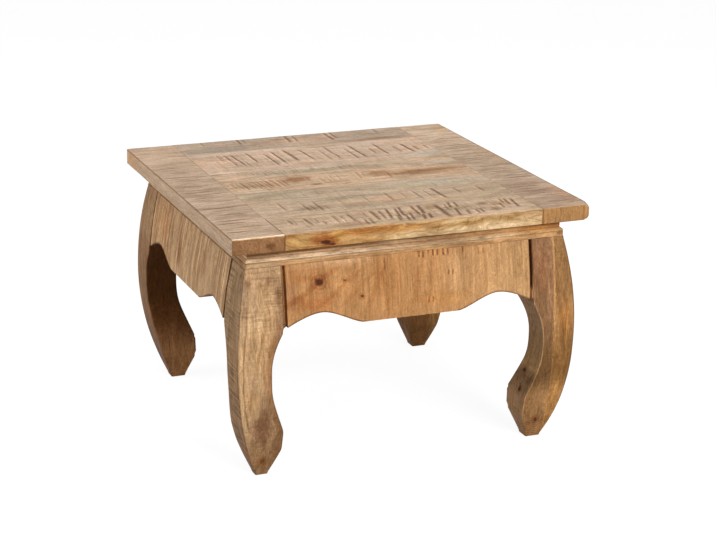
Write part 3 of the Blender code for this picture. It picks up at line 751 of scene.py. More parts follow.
class Wood:
    """One board's wood, made up in layers: its figure first, then its own stains, saw marks and knots.

    Places lie in the table's own frame: in millimetres in rows of patches and marks, otherwise in metres.
    A factor multiplies the colour that is there.
    """

    def __init__(self, name, grain, tones, seed, **amounts):
        self.material = bpy.data.materials.new(name)
        self.material.use_nodes = True
        self.tree = self.material.node_tree
        where = add(self.tree, "ShaderNodeTexCoord").outputs
        self.place = Value(where["Object"])
        self.axes = xyz(self.place)
        self.facing = xyz(Value(where["Normal"]))
        self.shade, self.figure = self.figured(grain, tones, seed, **amounts)
        self.height = self.figure["Fibres"] * 0.5

    def figured(self, grain, tones, seed, clouds=1.3, smudges=1.5, streaks=1.1, fibres=0.15, grit=0.13,
                wander=0.02):
        """The plain colour of a board and its figure."""
        light, dark = tones
        turned = {"Vector": self.place, "Rotation": GRAIN_TURN[grain]}
        board = node_value(self.tree, "ShaderNodeMapping", turned)
        figure = use_group(GRAIN, {"Vector": board, "Seed": seed, "Wander": wander})
        tone = 0.5
        for name, amount in (("Clouds", clouds), ("Smudges", smudges), ("Streaks", streaks)):
            tone = tone + (figure[name] - 0.5) * amount
        shade = mix(calc("MAXIMUM", calc("MINIMUM", tone, 1.0), 0.0), dark, light)
        for name, amount in (("Fibres", fibres), ("Grit", grit)):
            shade = mix(1.0, shade, swing(figure[name], amount), "MULTIPLY")
        return shade, figure

    def tint(self, mask, factor, strength=1.0):
        """Multiplies the colour by a factor where the mask shows."""
        if strength != 1.0:
            mask = mask * strength
        self.shade = mix(mask, self.shade, mix(1.0, self.shade, factor, "MULTIPLY"))

    def sink(self, mask, depth):
        self.height = self.height - mask * depth

    def looking(self, axis, sign):
        """A mask of the faces that look one way."""
        return fade(self.facing[axis] * sign, 0.5, 0.8)

    def ramp(self, axis, start, end, low=0.0, high=1.0):
        """A mask that goes from low to high from one place to another."""
        return fade(self.axes[axis], start, end, low, high)

    def within(self, axis, low, high, soft):
        return between(self.axes[axis], low, high, soft)

    def only_above(self, mask, height):
        return mask if height is None else mask * self.ramp("Z", height, height + RIM_FADE)

    def other_face(self, axis, sign, grain, tones, seed, **amounts):
        """Gives the faces that look one way a figure of their own."""
        shade, _ = self.figured(grain, tones, seed, **amounts)
        self.shade = mix(self.looking(axis, sign), self.shade, shade)

    def slope(self, axis, start, end, factor):
        """Tints more and more from one place to another."""
        self.tint(self.ramp(axis, start, end), factor)

    def line(self, axis, place, width, factor, strength=1.0):
        self.tint(fade(absolute(self.axes[axis] - place), width, width * 0.3), factor, strength)

    def carried(self, name, output):
        """A value that the mesh itself carries."""
        return node_value(self.tree, "ShaderNodeAttribute", output=output, attribute_name=name)

    def follow_leg(self):
        """Reads where a place lies across its leg, from 0 at the inner face to 1 at the outer face."""
        self.across = xyz(self.carried("across_leg", "Vector"))

    def leg_band(self, low, high, soft, heights, factor, strength):
        """Tints a band down a leg that follows its curve."""
        wobble = (self.figure["Smudges"] - 0.5) * BAND_WOBBLE
        band = between(self.across["X"] + wobble, low, high, soft)
        self.tint(band * self.within("Z", *heights, LEG_FADE), factor, strength)

    def leg_arris(self, across, along, factor, strength, width=0.05, heights=(-0.1, 0.5)):
        """Tints the edge between two faces of a leg; each is 0 for the inner or 1 for the outer one."""
        away = calc("MAXIMUM", absolute(self.across["X"] - across), absolute(self.across["Y"] - along))
        # Broken up by a noise; callers paint highlights and shade along some arrises with it
        patchy = fade(self.figure["Smudges"], 0.3, 0.5, 0.5, 1.0)
        edge = fade(away, width, width * 0.4) * patchy
        self.tint(edge * self.within("Z", *heights, LEG_FADE), factor, strength)

    def lower_edge(self, factor, strength):
        """Tints a thin line along an apron's scalloped edge."""
        self.tint(fade(self.carried("above_edge", "Fac"), 0.003, 0.0014), factor, strength)

    def patch(self, centre, size, factor, strength=0.9, ragged=0.7):
        oval = {"Vector": self.place, "Centre": centre, "Size": size, "Ragged": ragged}
        self.tint(use_group(PATCH, oval)["Mask"], factor, strength)

    def patches(self, rows):
        """Patches anywhere: (centre, size, factor) each, then strength and raggedness if set."""
        for centre, size, *look in rows:
            self.patch(metres(centre), metres(size), *look)

    def top_patches(self, rows):
        """Patches on the top: (x, y, half length, half width, factor) each, then the same."""
        for row in rows:
            x, y, length, width = metres(row[:4])
            self.patch((x, y, TOP_Z), (length, width, PATCH_DEPTH), *row[4:])

    def front_patches(self, rows):
        """Patches on the front edge: (x, z, half length, half height, factor) each, then the same."""
        for row in rows:
            x, z, length, height = metres(row[:4])
            self.patch((x, -HALF, z), (length, PATCH_DEPTH, height), *row[4:])

    def drift(self, scale, factor, start, end):
        """Tints the places where a slow noise runs high."""
        self.tint(fade(stretched_noise(self.place, scale), start, end), factor)

    def ripple(self, along, across, amount, pitch, *masks, wave=0.0):
        """Fine saw lines, where all the masks show."""
        depth = ({"X", "Y", "Z"} - {along, across}).pop()
        lines = use_group(RIPPLE, {"Along": self.axes[along], "Across": self.axes[across],
                                   "Depth": self.axes[depth], "Pitch": pitch, "Wave": wave})["Lines"]
        for mask in masks:
            lines = mix_value(mask, 0.5, lines)
        self.shade = mix(1.0, self.shade, swing(lines, amount), "MULTIPLY")
        self.height = self.height + lines * 0.8

    def pores(self, strength):
        self.tint(self.figure["Pores"], PORE_STAIN, strength)
        self.sink(self.figure["Pores"], 0.5)

    def knot(self, centre, size, strength=1.0, heart=KNOT_HEART):
        knot = use_group(KNOT, {"Vector": self.place, "Centre": centre, "Size": size})
        self.tint(knot["Halo"], KNOT_HALO, 0.8 * strength)
        self.shade = mix(knot["Heart"] * strength, self.shade, heart)
        self.sink(knot["Heart"], 0.6)

    def strokes(self, along, across, spacing, width, centre, reach, seed, limit, strength, density=0.8,
                factor=SAW_STAIN):
        """Random saw strokes on the top, between two places along the board."""
        lines = use_group(STROKES, {"Along": self.axes[along], "Across": self.axes[across],
                                    "Spacing": spacing, "Width": width, "Centre": centre, "Reach": reach,
                                    "Density": density, "Seed": seed})["Strokes"]
        lines = self.only_above(lines * self.within(along, *limit, STROKE_FADE), TOP_FACE)
        self.tint(lines, factor, strength)
        self.sink(lines, 1.0)

    def marks(self, along, across, rows, above=None, factor=SAW_STAIN, rim=SAW_RIM):
        """Saw marks at known places: (place, middle, half length, width, strength) each, then any lean."""
        bent = self.axes[along] + (noise_value(self.place, 45.0, 2.0) - 0.5) * MARK_WOBBLE
        dark = 0.0
        pale = 0.0
        for row in rows:
            cut_mask, rim_mask = saw_mark(bent, self.axes[across], *row)
            dark = calc("MAXIMUM", dark, cut_mask)
            pale = calc("MAXIMUM", pale, rim_mask)
        broken = fade(noise_value(self.place, 260.0, 2.0), 0.3, 0.55, 0.5, 1.0)
        self.tint(self.only_above(pale, above), rim)
        dark = self.only_above(dark * broken, above)
        self.tint(dark, factor)
        self.sink(dark, 1.0)

    def finish(self, roughness=0.62, specular=0.12):
        shine = fade(self.figure["Streaks"], 0.25, 0.75, roughness + 0.08, roughness - 0.06)
        bumps = {"Height": self.height, "Strength": BUMP_STRENGTH, "Distance": BUMP_DEPTH}
        shader = self.tree.nodes["Principled BSDF"]
        put(shader.inputs["Base Color"], self.shade)
        put(shader.inputs["Roughness"], shine)
        put(shader.inputs["Specular IOR Level"], specular)
        put(shader.inputs["Normal"], node_value(self.tree, "ShaderNodeBump", bumps))
        return self.material


# Woods of the seven planks, from back to front, each with its own stains and saw marks

PLANK_LOOKS = (
    {"tones": toned((0.47, 0.345, 0.25), 0.32), "seed": 1.3,
     "patches": (
         (-150, 238, 85, 24, (0.74, 0.82, 0.86)), (10, 262, 95, 26, (1.18, 1.07, 0.97)),
         (150, 226, 70, 11, (0.6, 0.48, 0.36), 0.85),
     ),
     "marks": (
         (-98, 285, 30, 3.4, 0.9, 0.05), (-88, 288, 20, 2.6, 0.7), (-8, 276, 32, 3.6, 0.9, 0.08),
         (6, 274, 24, 2.8, 0.7, 0.1), (69, 270, 36, 3.6, 1), (80, 278, 30, 3, 0.9),
         (165, 285, 20, 3, 0.7, 0.05), (-165, 285, 16, 2.6, 0.6),
     )},
    {"tones": toned((0.6, 0.435, 0.315), 0.3), "seed": 4.1, "smudges": 1.1,
     "patches": (
         (0, 212, 260, 8, (1.18, 1.18, 1.18)), (-185, 135, 50, 60, (1.16, 1.13, 1.13)),
         (185, 100, 60, 30, (0.86, 0.96, 1.0), 0.8), (-20, 88, 180, 10, (0.84, 0.86, 0.84), 0.8),
     ),
     "marks": (
         (-166, 178, 26, 2, 0.7), (-152.5, 155, 48, 2.8, 0.9), (-140, 155, 52, 3, 0.95, -0.04),
         (-132, 125, 22, 2, 0.7), (-112.5, 165, 46, 3, 0.95), (-83.5, 140, 52, 3.2, 0.9),
         (-67.5, 150, 58, 3.4, 1), (-42.5, 160, 52, 4.2, 1, -0.03), (-15, 155, 50, 3, 0.95, -0.04),
         (15, 140, 46, 2.2, 0.7), (32.5, 155, 52, 3, 0.95, -0.02), (62.5, 135, 46, 2.8, 0.85),
         (77.5, 150, 58, 3.4, 1, -0.02), (122.5, 150, 50, 3.4, 1), (105, 145, 24, 3.2, 0.7),
         (150, 140, 28, 3.4, 0.7), (171, 145, 40, 4.2, 1, -0.05), (186, 140, 20, 3.4, 0.8),
         (205, 140, 20, 3.2, 0.7),
     ),
     "stain": (0.33, 0.23, 0.19), "rim": (1.18, 1.14, 1.12),
     "strokes": (0.0092, 0.0016, 0.15, 0.046, 5.5, (-0.18, 0.21), 0.55, 0.7, (0.62, 0.48, 0.42))},
    {"tones": toned((0.55, 0.395, 0.27), 0.34), "seed": 7.7,
     "patches": (
         (-50, 55, 170, 16, (0.76, 0.83, 0.84)), (185, 32, 35, 14, (1.06, 1.2, 1.34)),
         (-190, 55, 35, 30, (1.22, 1.19, 1.24)),
     ),
     "strokes": (0.0105, 0.0022, 0.058, 0.014, 7.7, (-0.17, 0.04), 0.5)},
    {"tones": toned((0.55, 0.375, 0.242), 0.32), "seed": 10.2,
     "patches": (
         (-90, 1, 34, 19, (0.56, 0.38, 0.22), 0.95), (-68, -38, 13, 7, (0.42, 0.28, 0.24)),
         (55, -3, 30, 18, (0.6, 0.44, 0.27)), (130, -16, 105, 19, (0.54, 0.38, 0.22), 0.95),
         (190, -50, 35, 8, (0.7, 0.66, 0.64), 0.7), (-185, -42, 35, 16, (1.2, 1.22, 1.34)),
     ),
     "marks": (
         (-201.6, -10, 20, 2.4, 0.7, -0.05), (-192, -12, 26, 2.2, 0.8, -0.1),
         (-184, -12, 32, 2.8, 1, -0.05), (-173, -14, 26, 2.4, 0.8, -0.1),
         (-163, -10, 32, 2.4, 0.9, -0.08), (-157, -6, 22, 3, 0.9, -0.05), (-148, -14, 32, 2.4, 0.9, -0.1),
         (-142, -10, 28, 2.8, 1, -0.05), (-131, -10, 34, 2.6, 0.9, -0.08),
         (-121, -12, 30, 2.6, 0.9, -0.05), (-114, -6, 26, 2.4, 0.8, -0.1), (-69, 0, 16, 2.8, 0.8, 0.05),
         (-50, -16, 22, 2, 0.6, 0.05), (-39, -14, 24, 2, 0.6, 0.05), (-30, -8, 24, 2, 0.6, 0.1),
         (-18, -10, 26, 2, 0.5, 0.1), (19, -8, 28, 2.8, 0.8, 0.1), (28, -4, 22, 2, 0.6, 0.15),
         (69, -20, 20, 2.4, 0.8, 0.1), (80, -18, 18, 2, 0.6, 0.1), (105, -22, 16, 2, 0.6, 0.1),
     ),
     "stain": (0.66, 0.48, 0.39), "rim": (1.16, 1.14, 1.1)},
    {"tones": toned((0.505, 0.38, 0.263), 0.27), "seed": 13.9,
     "patches": (
         (-170, -88, 65, 20, (0.8, 0.8, 0.76)), (120, -95, 90, 22, (0.9, 1.0, 1.04)),
         (-20, -70, 120, 8, (1.12, 1.13, 1.14)),
     ),
     "strokes": (0.012, 0.0018, -0.09, 0.02, 8.4, (-0.2, 0.2), 0.35, 0.5)},
    {"tones": toned((0.5, 0.362, 0.247), 0.31), "seed": 17.4,
     "patches": (
         (-125, -176, 36, 14, (0.6, 0.58, 0.5), 0.95), (-50, -178, 90, 10, (0.7, 0.7, 0.64)),
         (20, -158, 50, 14, (1.08, 0.94, 0.88)), (140, -190, 70, 12, (1.02, 1.0, 0.88), 0.8),
     ),
     "marks": (
         (-168, -152, 30, 2.8, 0.7), (-134, -166, 30, 2.8, 0.7), (-124, -172, 20, 2.2, 0.6),
         (-113, -168, 34, 3, 0.8), (-102, -178, 16, 2, 0.5), (-70, -150, 26, 2.6, 0.35),
         (-25, -155, 26, 2.8, 0.45), (14.5, -152, 30, 3.4, 0.7, 0.04), (40, -150, 22, 2.4, 0.5),
         (63, -154, 32, 3.2, 0.7), (82, -150, 22, 2.4, 0.6), (99, -155, 42, 4.2, 1, -0.03),
         (135, -150, 20, 3.2, 0.7), (175, -152, 22, 3.2, 0.75),
     )},
    {"tones": toned((0.525, 0.37, 0.247), 0.31), "seed": 20.8,
     "patches": (
         (54, -230, 16, 14, (0.56, 0.5, 0.34)), (-100, -280, 60, 14, (0.76, 0.66, 0.56)),
         (139, -238, 12, 10, (0.44, 0.38, 0.3)), (147, -273, 14, 12, (0.48, 0.42, 0.32), 0.85),
         (-130, -218, 90, 6, (1.2, 1.1, 1.04)), (166, -246, 26, 12, (0.62, 0.56, 0.44), 0.85),
     ),
     "marks": (
         (-186, -240, 14, 3.4, 0.8), (-158, -245, 24, 3.6, 0.8, -0.05), (-144, -244, 16, 2.6, 0.6),
         (-136, -258, 12, 3.4, 0.7), (-112.5, -245, 26, 2.8, 0.7), (-100, -246, 20, 2.4, 0.6, 0.05),
         (-87.5, -245, 28, 3, 0.8, 0.05), (-74, -276, 20, 3.2, 0.7, 0.1), (-64, -272, 22, 3.2, 0.8, 0.1),
         (-62, -238, 16, 2.4, 0.6, 0.05), (-48, -246, 34, 4.4, 0.9, 0.06), (-36, -246, 30, 3.4, 0.8, 0.1),
         (-24, -244, 36, 3.6, 1, 0.2), (-18, -270, 20, 3.4, 0.9, 0.15), (-9.4, -246, 36, 3.4, 1, 0.2),
         (-1, -240, 34, 3.6, 1, 0.2), (-4, -272, 22, 3.6, 0.9, 0.2), (5, -268, 26, 3.6, 0.9, 0.2),
         (22, -241, 36, 4.2, 1, 0.12), (33, -238, 32, 4.6, 1, 0.18), (22, -276, 18, 4, 1, 0.2),
         (33, -275, 18, 4.4, 1, 0.2), (62.5, -256, 46, 6.2, 0.95, 0.05), (77, -236, 18, 2.6, 0.8, 0.2),
         (86, -228, 20, 3.6, 1, 0.2), (83, -269, 26, 3.8, 1, 0.2), (97, -228, 18, 3.6, 0.9, 0.1),
         (98, -276, 16, 3.6, 0.9, 0.1), (114, -276, 16, 3.6, 0.8, 0.1), (122, -274, 14, 3.6, 0.8, 0.1),
         (164, -258, 18, 3.4, 0.8, 0.15), (175, -232, 16, 3, 0.8, 0.1), (181, -240, 22, 3.2, 0.9, 0.15),
         (190, -250, 32, 3.4, 1, 0.18),
     ),
     "stain": (0.3, 0.23, 0.18), "rim": (1.18, 1.16, 1.14),
     "strokes": (0.0085, 0.0018, -0.252, 0.034, 9.1, (-0.19, 0.2), 0.55, 0.7, (0.58, 0.48, 0.4))},
)


def plank_woods():
    looks = {}
    for name, look in zip(PLANK_NAMES, PLANK_LOOKS):
        wood = Wood(f"wood_{name}", "X", look["tones"], look["seed"], smudges=look.get("smudges", 1.5))
        low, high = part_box(name)
        for edge in (low[1], high[1]):
            if abs(edge) < HALF - TOP_CORNER:
                wood.line("Y", edge, 0.0012, (0.84, 0.8, 0.76), 0.8)
        wood.ripple("X", "Y", 0.1, 0.0034)
        wood.drift((9.0, 30.0, 9.0), (0.88, 0.92, 0.89), 0.5, 0.66)
        wood.drift((11.0, 40.0, 11.0), (1.1, 1.04, 0.97), 0.52, 0.66)
        wood.pores(0.3)
        wood.top_patches(look["patches"])
        if "marks" in look:
            stain = look.get("stain", SAW_STAIN)
            wood.marks("X", "Y", look["marks"], TOP_FACE, stain, look.get("rim", SAW_RIM))
        if "strokes" in look:
            wood.strokes("X", "Y", *look["strokes"])
        if name == PLANK_NAMES[-1]:
            front_plank_edge(wood)
        looks[name] = wood.finish()
    return looks


def front_plank_edge(wood):
    """The top's front edge: golden with wavy grain and knots at the left, pale yellow at the right."""
    wood.other_face("Y", -1, "X", ((0.78, 0.54, 0.285), (0.35, 0.185, 0.064)), 23.5, clouds=0.8,
                    smudges=2.2, streaks=1.6, fibres=0.14, grit=0.12, wander=0.06)
    wood.tint(wood.looking("Y", -1) * wood.ramp("X", -0.01, -0.09), (0.84, 0.68, 0.5))
    wood.front_patches((
        (-45, 400, 110, 8, (0.86, 0.62, 0.34), 0.95, 0.8), (80, 396, 50, 6, (0.8, 0.72, 0.5), 0.8, 1),
        (150, 398, 30, 6, (0.74, 0.66, 0.46), 0.8, 1), (120, 387, 100, 6, (1.12, 1.16, 1.3), 0.8),
        (-50, 386.5, 60, 4, (1.25, 1.3, 1.25), 0.8, 0.9),
        (-152, 393, 32, 12, (0.7, 0.46, 0.3), 0.95, 0.9), (-193, 392, 24, 14, (1.22, 1.3, 1.2), 0.85),
        (-188, 397, 22, 9, (1.08, 1.18, 1.24), 0.85), (-130, 399, 14, 9, (1.22, 1.34, 1.06), 0.85),
        (-72, 398, 20, 7, (1.08, 1.16, 1.28), 0.85),
    ))
    wood.knot((-0.15, -HALF, 0.3895), (0.0085, 0.01, 0.004), 0.95, (0.06, 0.018, 0.01))
    wood.knot((-0.14, -HALF, 0.3855), (0.007, 0.01, 0.0024), 0.9, (0.07, 0.02, 0.01))
    wood.marks("X", "Z", (
        (85, 398, 6, 1.8, 0.7, 0.2), (98, 400, 6, 1.8, 0.7, 0.2), (110, 399, 6, 1.8, 0.6, 0.2),
        (142, 400, 7, 1.8, 0.7, 0.2), (155, 398, 6, 1.6, 0.6, 0.2), (36, 394, 8, 1.8, 0.6, 0.3),
    ), factor=(0.62, 0.46, 0.3), rim=(1.0, 1.0, 1.0))
    wood.line("X", -CORE_HALF, 0.0016, (0.42, 0.3, 0.18))
    wood.line("X", CORE_HALF, 0.0013, (0.5, 0.36, 0.22))


# Woods of the end boards, mouldings and aprons

def end_board_woods():
    return {"end_board_left": left_end_wood(), "end_board_right": right_end_wood()}


def left_end_wood():
    """Saw marks across the board, brown end grain at the front and a painted highlight on the arris above
    it.
    """
    wood = Wood("wood_end_board_left", "X", toned((0.515, 0.368, 0.254), 0.33), 31.0, fibres=0.12)
    wood.ripple("Y", "X", 0.11, 0.004)
    wood.drift((30.0, 9.0, 9.0), (0.93, 0.94, 0.93), 0.5, 0.66)
    wood.drift((14.0, 190.0, 14.0), (0.8, 0.73, 0.69), 0.55, 0.68)
    wood.pores(0.3)
    wood.slope("Y", 0.05, 0.26, (1.12, 1.11, 1.1))
    wood.top_patches((
        (-268, 115, 50, 100, (0.86, 0.84, 0.83)),
    ))
    wood.line("X", -CORE_HALF, 0.0016, (0.8, 0.75, 0.71))
    wood.marks("Y", "X", (
        (140, -270, 24, 2.4, 0.7), (76, -276, 26, 3, 0.9, 0.05), (70, -232, 14, 2.6, 0.7),
        (12, -262, 36, 3, 0.9, 0.04), (-12, -255, 32, 2.6, 0.8), (-26, -268, 28, 2.8, 0.9),
        (-40, -256, 36, 3, 0.9, 0.03), (-62, -262, 32, 3, 0.9), (-88, -250, 28, 2.6, 0.8),
        (-126, -264, 36, 3.2, 1, 0.02), (-142, -262, 24, 2.6, 0.7), (-165, -250, 30, 2.6, 0.8),
        (-200, -262, 34, 3.2, 1, 0.03), (-214, -270, 28, 3, 0.9), (-238, -250, 28, 2.6, 0.8),
        (-262, -272, 28, 3.4, 1, 0.04),
    ), TOP_FACE, (0.48, 0.34, 0.28), (1.08, 1.07, 1.06))
    wood.other_face("X", -1, "Y", ((0.66, 0.47, 0.32), (0.42, 0.28, 0.17)), 33.0)
    wood.patch((-HALF, 0.265, 0.394), (0.02, 0.045, 0.014), (1.02, 0.84, 0.66))
    wood.other_face("Y", -1, "Y", toned((0.3, 0.147, 0.062), 0.34), 34.0, clouds=1.0, smudges=1.8,
                    grit=0.16)
    wood.patch((-0.2385, -HALF, 0.392), (0.01, 0.02, 0.007), (0.52, 0.4, 0.28))
    # Painted shade along the arris at the top's left edge
    rim = wood.ramp("X", -HALF + 0.0022, -HALF + 0.001)
    wood.tint(wood.only_above(rim, TOP_Z - 0.0018), (0.55, 0.45, 0.38))
    # Painted highlight along the top's front arris
    front = wood.ramp("Y", -HALF + 0.0024, -HALF + 0.0012)
    wood.tint(wood.only_above(front, TOP_Z - 0.0024), (2.4, 3.0, 3.6), 0.9)
    return wood.finish()


def right_end_wood():
    """Dark and pale strokes across the board, golden patches along its rim and ochre end grain."""
    wood = Wood("wood_end_board_right", "X", toned((0.48, 0.35, 0.243), 0.36), 37.0, smudges=1.3,
                streaks=1.5, fibres=0.12)
    wood.ripple("Y", "X", 0.11, 0.004)
    wood.drift((13.0, 170.0, 13.0), (0.76, 0.69, 0.66), 0.53, 0.68)
    wood.drift((14.0, 250.0, 14.0), (1.12, 1.1, 1.08), 0.55, 0.66)
    wood.pores(0.3)
    wood.slope("Y", 0.0, 0.26, (1.3, 1.32, 1.33))
    wood.slope("Y", -0.05, -0.28, (0.88, 0.84, 0.83))
    wood.line("X", CORE_HALF, 0.0012, (0.9, 0.88, 0.86))
    wood.tint(wood.ramp("X", HALF - 0.0044, HALF - 0.0016), (0.54, 0.5, 0.5), 0.9)
    wood.top_patches((
        (285, 260, 20, 30, (1.1, 0.96, 0.8), 0.8), (290, 60, 12, 80, (1.08, 0.97, 0.84), 0.8),
        (288, -220, 14, 70, (1.1, 0.93, 0.82), 0.8),
    ))
    place = (0.258, 0.034)
    limit = (-0.28, 0.2)
    wood.strokes("Y", "X", 0.0125, 0.0028, *place, 12.5, limit, 0.8, 0.8, (0.52, 0.38, 0.33))
    wood.strokes("Y", "X", 0.0135, 0.0022, *place, 17.1, limit, 0.7, 0.7, (1.2, 1.15, 1.1))
    wood.other_face("Y", -1, "Z", toned((0.418, 0.216, 0.081), 0.34), 38.0, clouds=0.8, smudges=1.8,
                    grit=0.16)
    joint = wood.ramp("X", CORE_HALF + 0.0036, CORE_HALF + 0.0014)
    wood.tint(wood.looking("Y", -1) * joint, (0.62, 0.5, 0.4), 0.9)
    return wood.finish()


def frame_woods():
    """The mouldings under the top and the four aprons."""
    looks = {}
    for number, side in enumerate(SIDES):
        along = "X" if side in ("front", "back") else "Y"
        looks[f"moulding_{side}"] = moulding_wood(side, along, 43.0 + number * 3.3)
        looks[f"apron_{side}"] = apron_wood(side, along, 61.0 + number * 2.9)
    return looks


def moulding_wood(side, along, seed):
    """A moulding: the band with the top's shadow painted on it, the rounded shoulder, the scribed line
    with painted shade in it, and the lip.
    """
    wood = Wood(f"wood_moulding_{side}", along, toned((0.52, 0.325, 0.172), 0.4), seed, clouds=1.6,
                smudges=2.0, streaks=1.5, fibres=0.14, grit=0.1, wander=0.03)
    left = wood.ramp("X", 0.02, -0.12)
    line_strength = 0.8
    scribe_strength = 0.8
    wood.pores(0.4)
    if side == "front":
        line_strength = 0.3
        scribe_strength = 0.4
        front_moulding_tones(wood, left)
    # Painted shade in the scribed line
    wood.line("Z", 0.3578, 0.0013, (0.62, 0.5, 0.4), line_strength)
    wood.tint(wood.within("Z", 0.3572, 0.3584, 0.0004) * left, (0.62, 0.5, 0.4), scribe_strength)
    corner = absolute(absolute(wood.axes["X"]) - (LIP_FACE - 0.001))
    wood.tint(fade(corner, 0.002, 0.0008), (0.6, 0.5, 0.42), 0.7)
    # Painted shade at the right end of the front lip
    wood.patch((0.263, -LIP_FACE, 0.3548), (0.007, 0.03, 0.0045), (0.4, 0.35, 0.35))
    wood.patch((-LIP_FACE, -0.25, 0.3545), (0.02, 0.014, 0.006), (0.62, 0.54, 0.54))
    # Painted shadow of the top's overhang on the band, deeper at the left
    shade = mix_value(left, wood.ramp("Z", 0.369, 0.3712), wood.ramp("Z", 0.3655, 0.369))
    wood.tint(shade, (0.5, 0.34, 0.19), 0.95)
    return wood.finish(specular=0.08)


def front_moulding_tones(wood, left):
    """Painted highlights on the rounded shoulder, brightest at the left, and along the middle of the lip;
    painted shade in the crease above the shoulder; the band paler at the left and browner towards the
    right leg.
    """
    right = wood.ramp("X", 0.0, 0.12)
    lip = wood.ramp("Z", 0.3572, 0.3566)
    shoulder = wood.within("Z", 0.3588, 0.364, 0.0006)
    band = wood.ramp("Z", 0.364, 0.365)
    wood.tint(lip * wood.ramp("X", -0.222, -0.205), (1.02, 0.92, 0.76))
    # Painted highlight on the rounded shoulder
    wood.tint(shoulder * left, (1.48, 1.66, 1.95), 0.95)
    wood.tint(shoulder * right, (1.18, 1.24, 1.24), 0.9)
    wood.tint(band * left, (1.12, 1.2, 1.34), 0.9)
    wood.tint(band * right, (1.06, 0.88, 0.62), 0.9)
    # Painted shade in the crease between the shoulder and the band
    wood.line("Z", 0.3643, 0.0012, (0.66, 0.54, 0.44), 0.8)
    middle = wood.within("X", -0.18, 0.16, 0.03)
    # Painted highlight along the middle of the lip
    wood.tint(wood.within("Z", 0.3548, 0.36, 0.0006) * middle, (1.22, 1.34, 1.54), 0.9)
    wood.tint(wood.ramp("X", 0.165, 0.215) * wood.ramp("Z", 0.356, 0.3575), (0.86, 0.72, 0.54))


def apron_wood(side, along, seed):
    if side == "left":
        wood = Wood("wood_apron_left", "Z", toned((0.505, 0.316, 0.168), 0.34), seed, clouds=1.0,
                    smudges=1.4, streaks=1.5, fibres=0.18, wander=0.03)
        left_apron_marks(wood)
    else:
        wood = Wood(f"wood_apron_{side}", "Z", toned((0.537, 0.274, 0.108), 0.32), seed, smudges=1.1,
                    streaks=0.35, fibres=0.08, wander=0.04)
        wood.ripple(along, "Z", 0.16, 0.003)
        fine = (260.0, 3.0, 8.0) if along == "X" else (3.0, 260.0, 8.0)
        wood.drift(fine, (0.89, 0.84, 0.79), 0.52, 0.64)
        wood.drift(tuple(value * 0.83 for value in fine), (1.1, 1.11, 1.12), 0.52, 0.64)
    if side == "front":
        front_apron_marks(wood)
    # Painted shade on the faces that look down, which darkens the bevel along the scalloped edge
    wood.tint(wood.looking("Z", -1), (0.4, 0.32, 0.26))
    wood.lower_edge((0.43, 0.36, 0.32), 0.9)
    wood.pores(0.25)
    return wood.finish(specular=0.08)


def left_apron_marks(wood):
    """Upright streaks and patches, dark and pale."""
    wood.ripple("Y", "Z", 0.18, 0.005)
    wood.drift((3.0, 190.0, 5.0), (0.7, 0.6, 0.53), 0.53, 0.62)
    wood.drift((3.5, 150.0, 4.0), (1.3, 1.32, 1.32), 0.52, 0.62)
    wood.patches((
        ((-288, 130, 312), (200, 18, 50), (0.9, 0.8, 0.7)),
        ((-288, 41, 288), (200, 13, 36), (0.52, 0.36, 0.28), 0.95, 0.3),
    ))
    wood.slope("Y", 0.03, 0.15, (0.97, 0.93, 0.89))
    wood.patches((
        ((-288, -90, 310), (200, 12, 30), (0.84, 0.77, 0.72)),
        ((-288, 160, 320), (30, 30, 40), (1.14, 1.06, 0.94), 0.8),
    ))


def front_apron_marks(wood):
    """Broad leaning saw marks and knots at the left, paler wood at the right, short cuts near the top."""
    wood.slope("X", 0.03, 0.2, (1.04, 1.16, 1.3))
    wood.ripple("X", "Z", 0.12, 0.0046, wood.within("X", 0.0, 0.22, 0.05))
    wood.patches((
        ((-165, -288, 285), (50, 30, 20), (0.86, 0.66, 0.54), 0.8, 1),
        ((-180, -288, 330), (40, 30, 16), (0.88, 0.72, 0.64), 0.8, 1),
        ((-40, -288, 305), (34, 200, 60), (0.88, 0.8, 0.72)),
        ((-100, -288, 305), (22, 200, 30), (1.16, 1.13, 1.12)),
        ((84, -288, 312), (30, 200, 60), (1.08, 1.15, 1.26)),
        ((50, -288, 270), (60, 30, 15), (1.08, 1.0, 0.86), 0.8, 1),
        ((-120, -270, 349.5), (75, 200, 12), (1.24, 1.42, 1.85), 0.9, 0.9),
        ((-197, -280, 305), (12, 200, 34), (0.8, 0.76, 0.86)),
    ))
    wood.marks("X", "Z", (
        (-160, 314, 34, 12, 0.9, 1.5), (-185, 300, 30, 9, 0.8, 1.5), (-118, 306, 34, 9, 0.7, 1.4),
        (-90, 300, 30, 8, 0.6, 1.2), (-60, 300, 36, 7, 0.6, 0.4), (10, 300, 40, 8, 0.6, 0.1),
        (36, 305, 40, 6, 0.5, 0.1),
    ), factor=(0.86, 0.73, 0.64), rim=(1.05, 1.05, 1.04))
    wood.knot((-0.1525, -0.2835, 0.3185), (0.008, 0.02, 0.0072))
    wood.knot((-0.11, -0.2835, 0.3175), (0.0034, 0.02, 0.0022), 0.7)
    wood.knot((-0.0825, -0.287, 0.29), (0.0034, 0.02, 0.0028), 0.85)
    wood.marks("X", "Z", (
        (16, 346, 7, 2.8, 1), (23, 344.5, 6, 2.4, 0.9), (32, 346.5, 5, 2, 0.6), (40, 346, 7, 2.6, 1),
        (47.5, 345.5, 6, 2.4, 0.9), (57.6, 346, 8, 2.8, 1), (66, 345.5, 7, 2.4, 0.9),
        (91.6, 346, 6, 2.2, 0.7), (118, 340, 6, 2, 0.5), (126, 340, 6, 2, 0.5), (65, 312.5, 6, 2, 0.8),
        (72.5, 312.5, 6, 2, 0.8), (30, 272.5, 6, 2, 0.8), (37.5, 272.5, 6, 2, 0.7),
        (-43, 335, 12, 2, 0.6),
    ))


# Woods of the legs: the colours of the inner and the outer board, and the arrises that stand dark in view

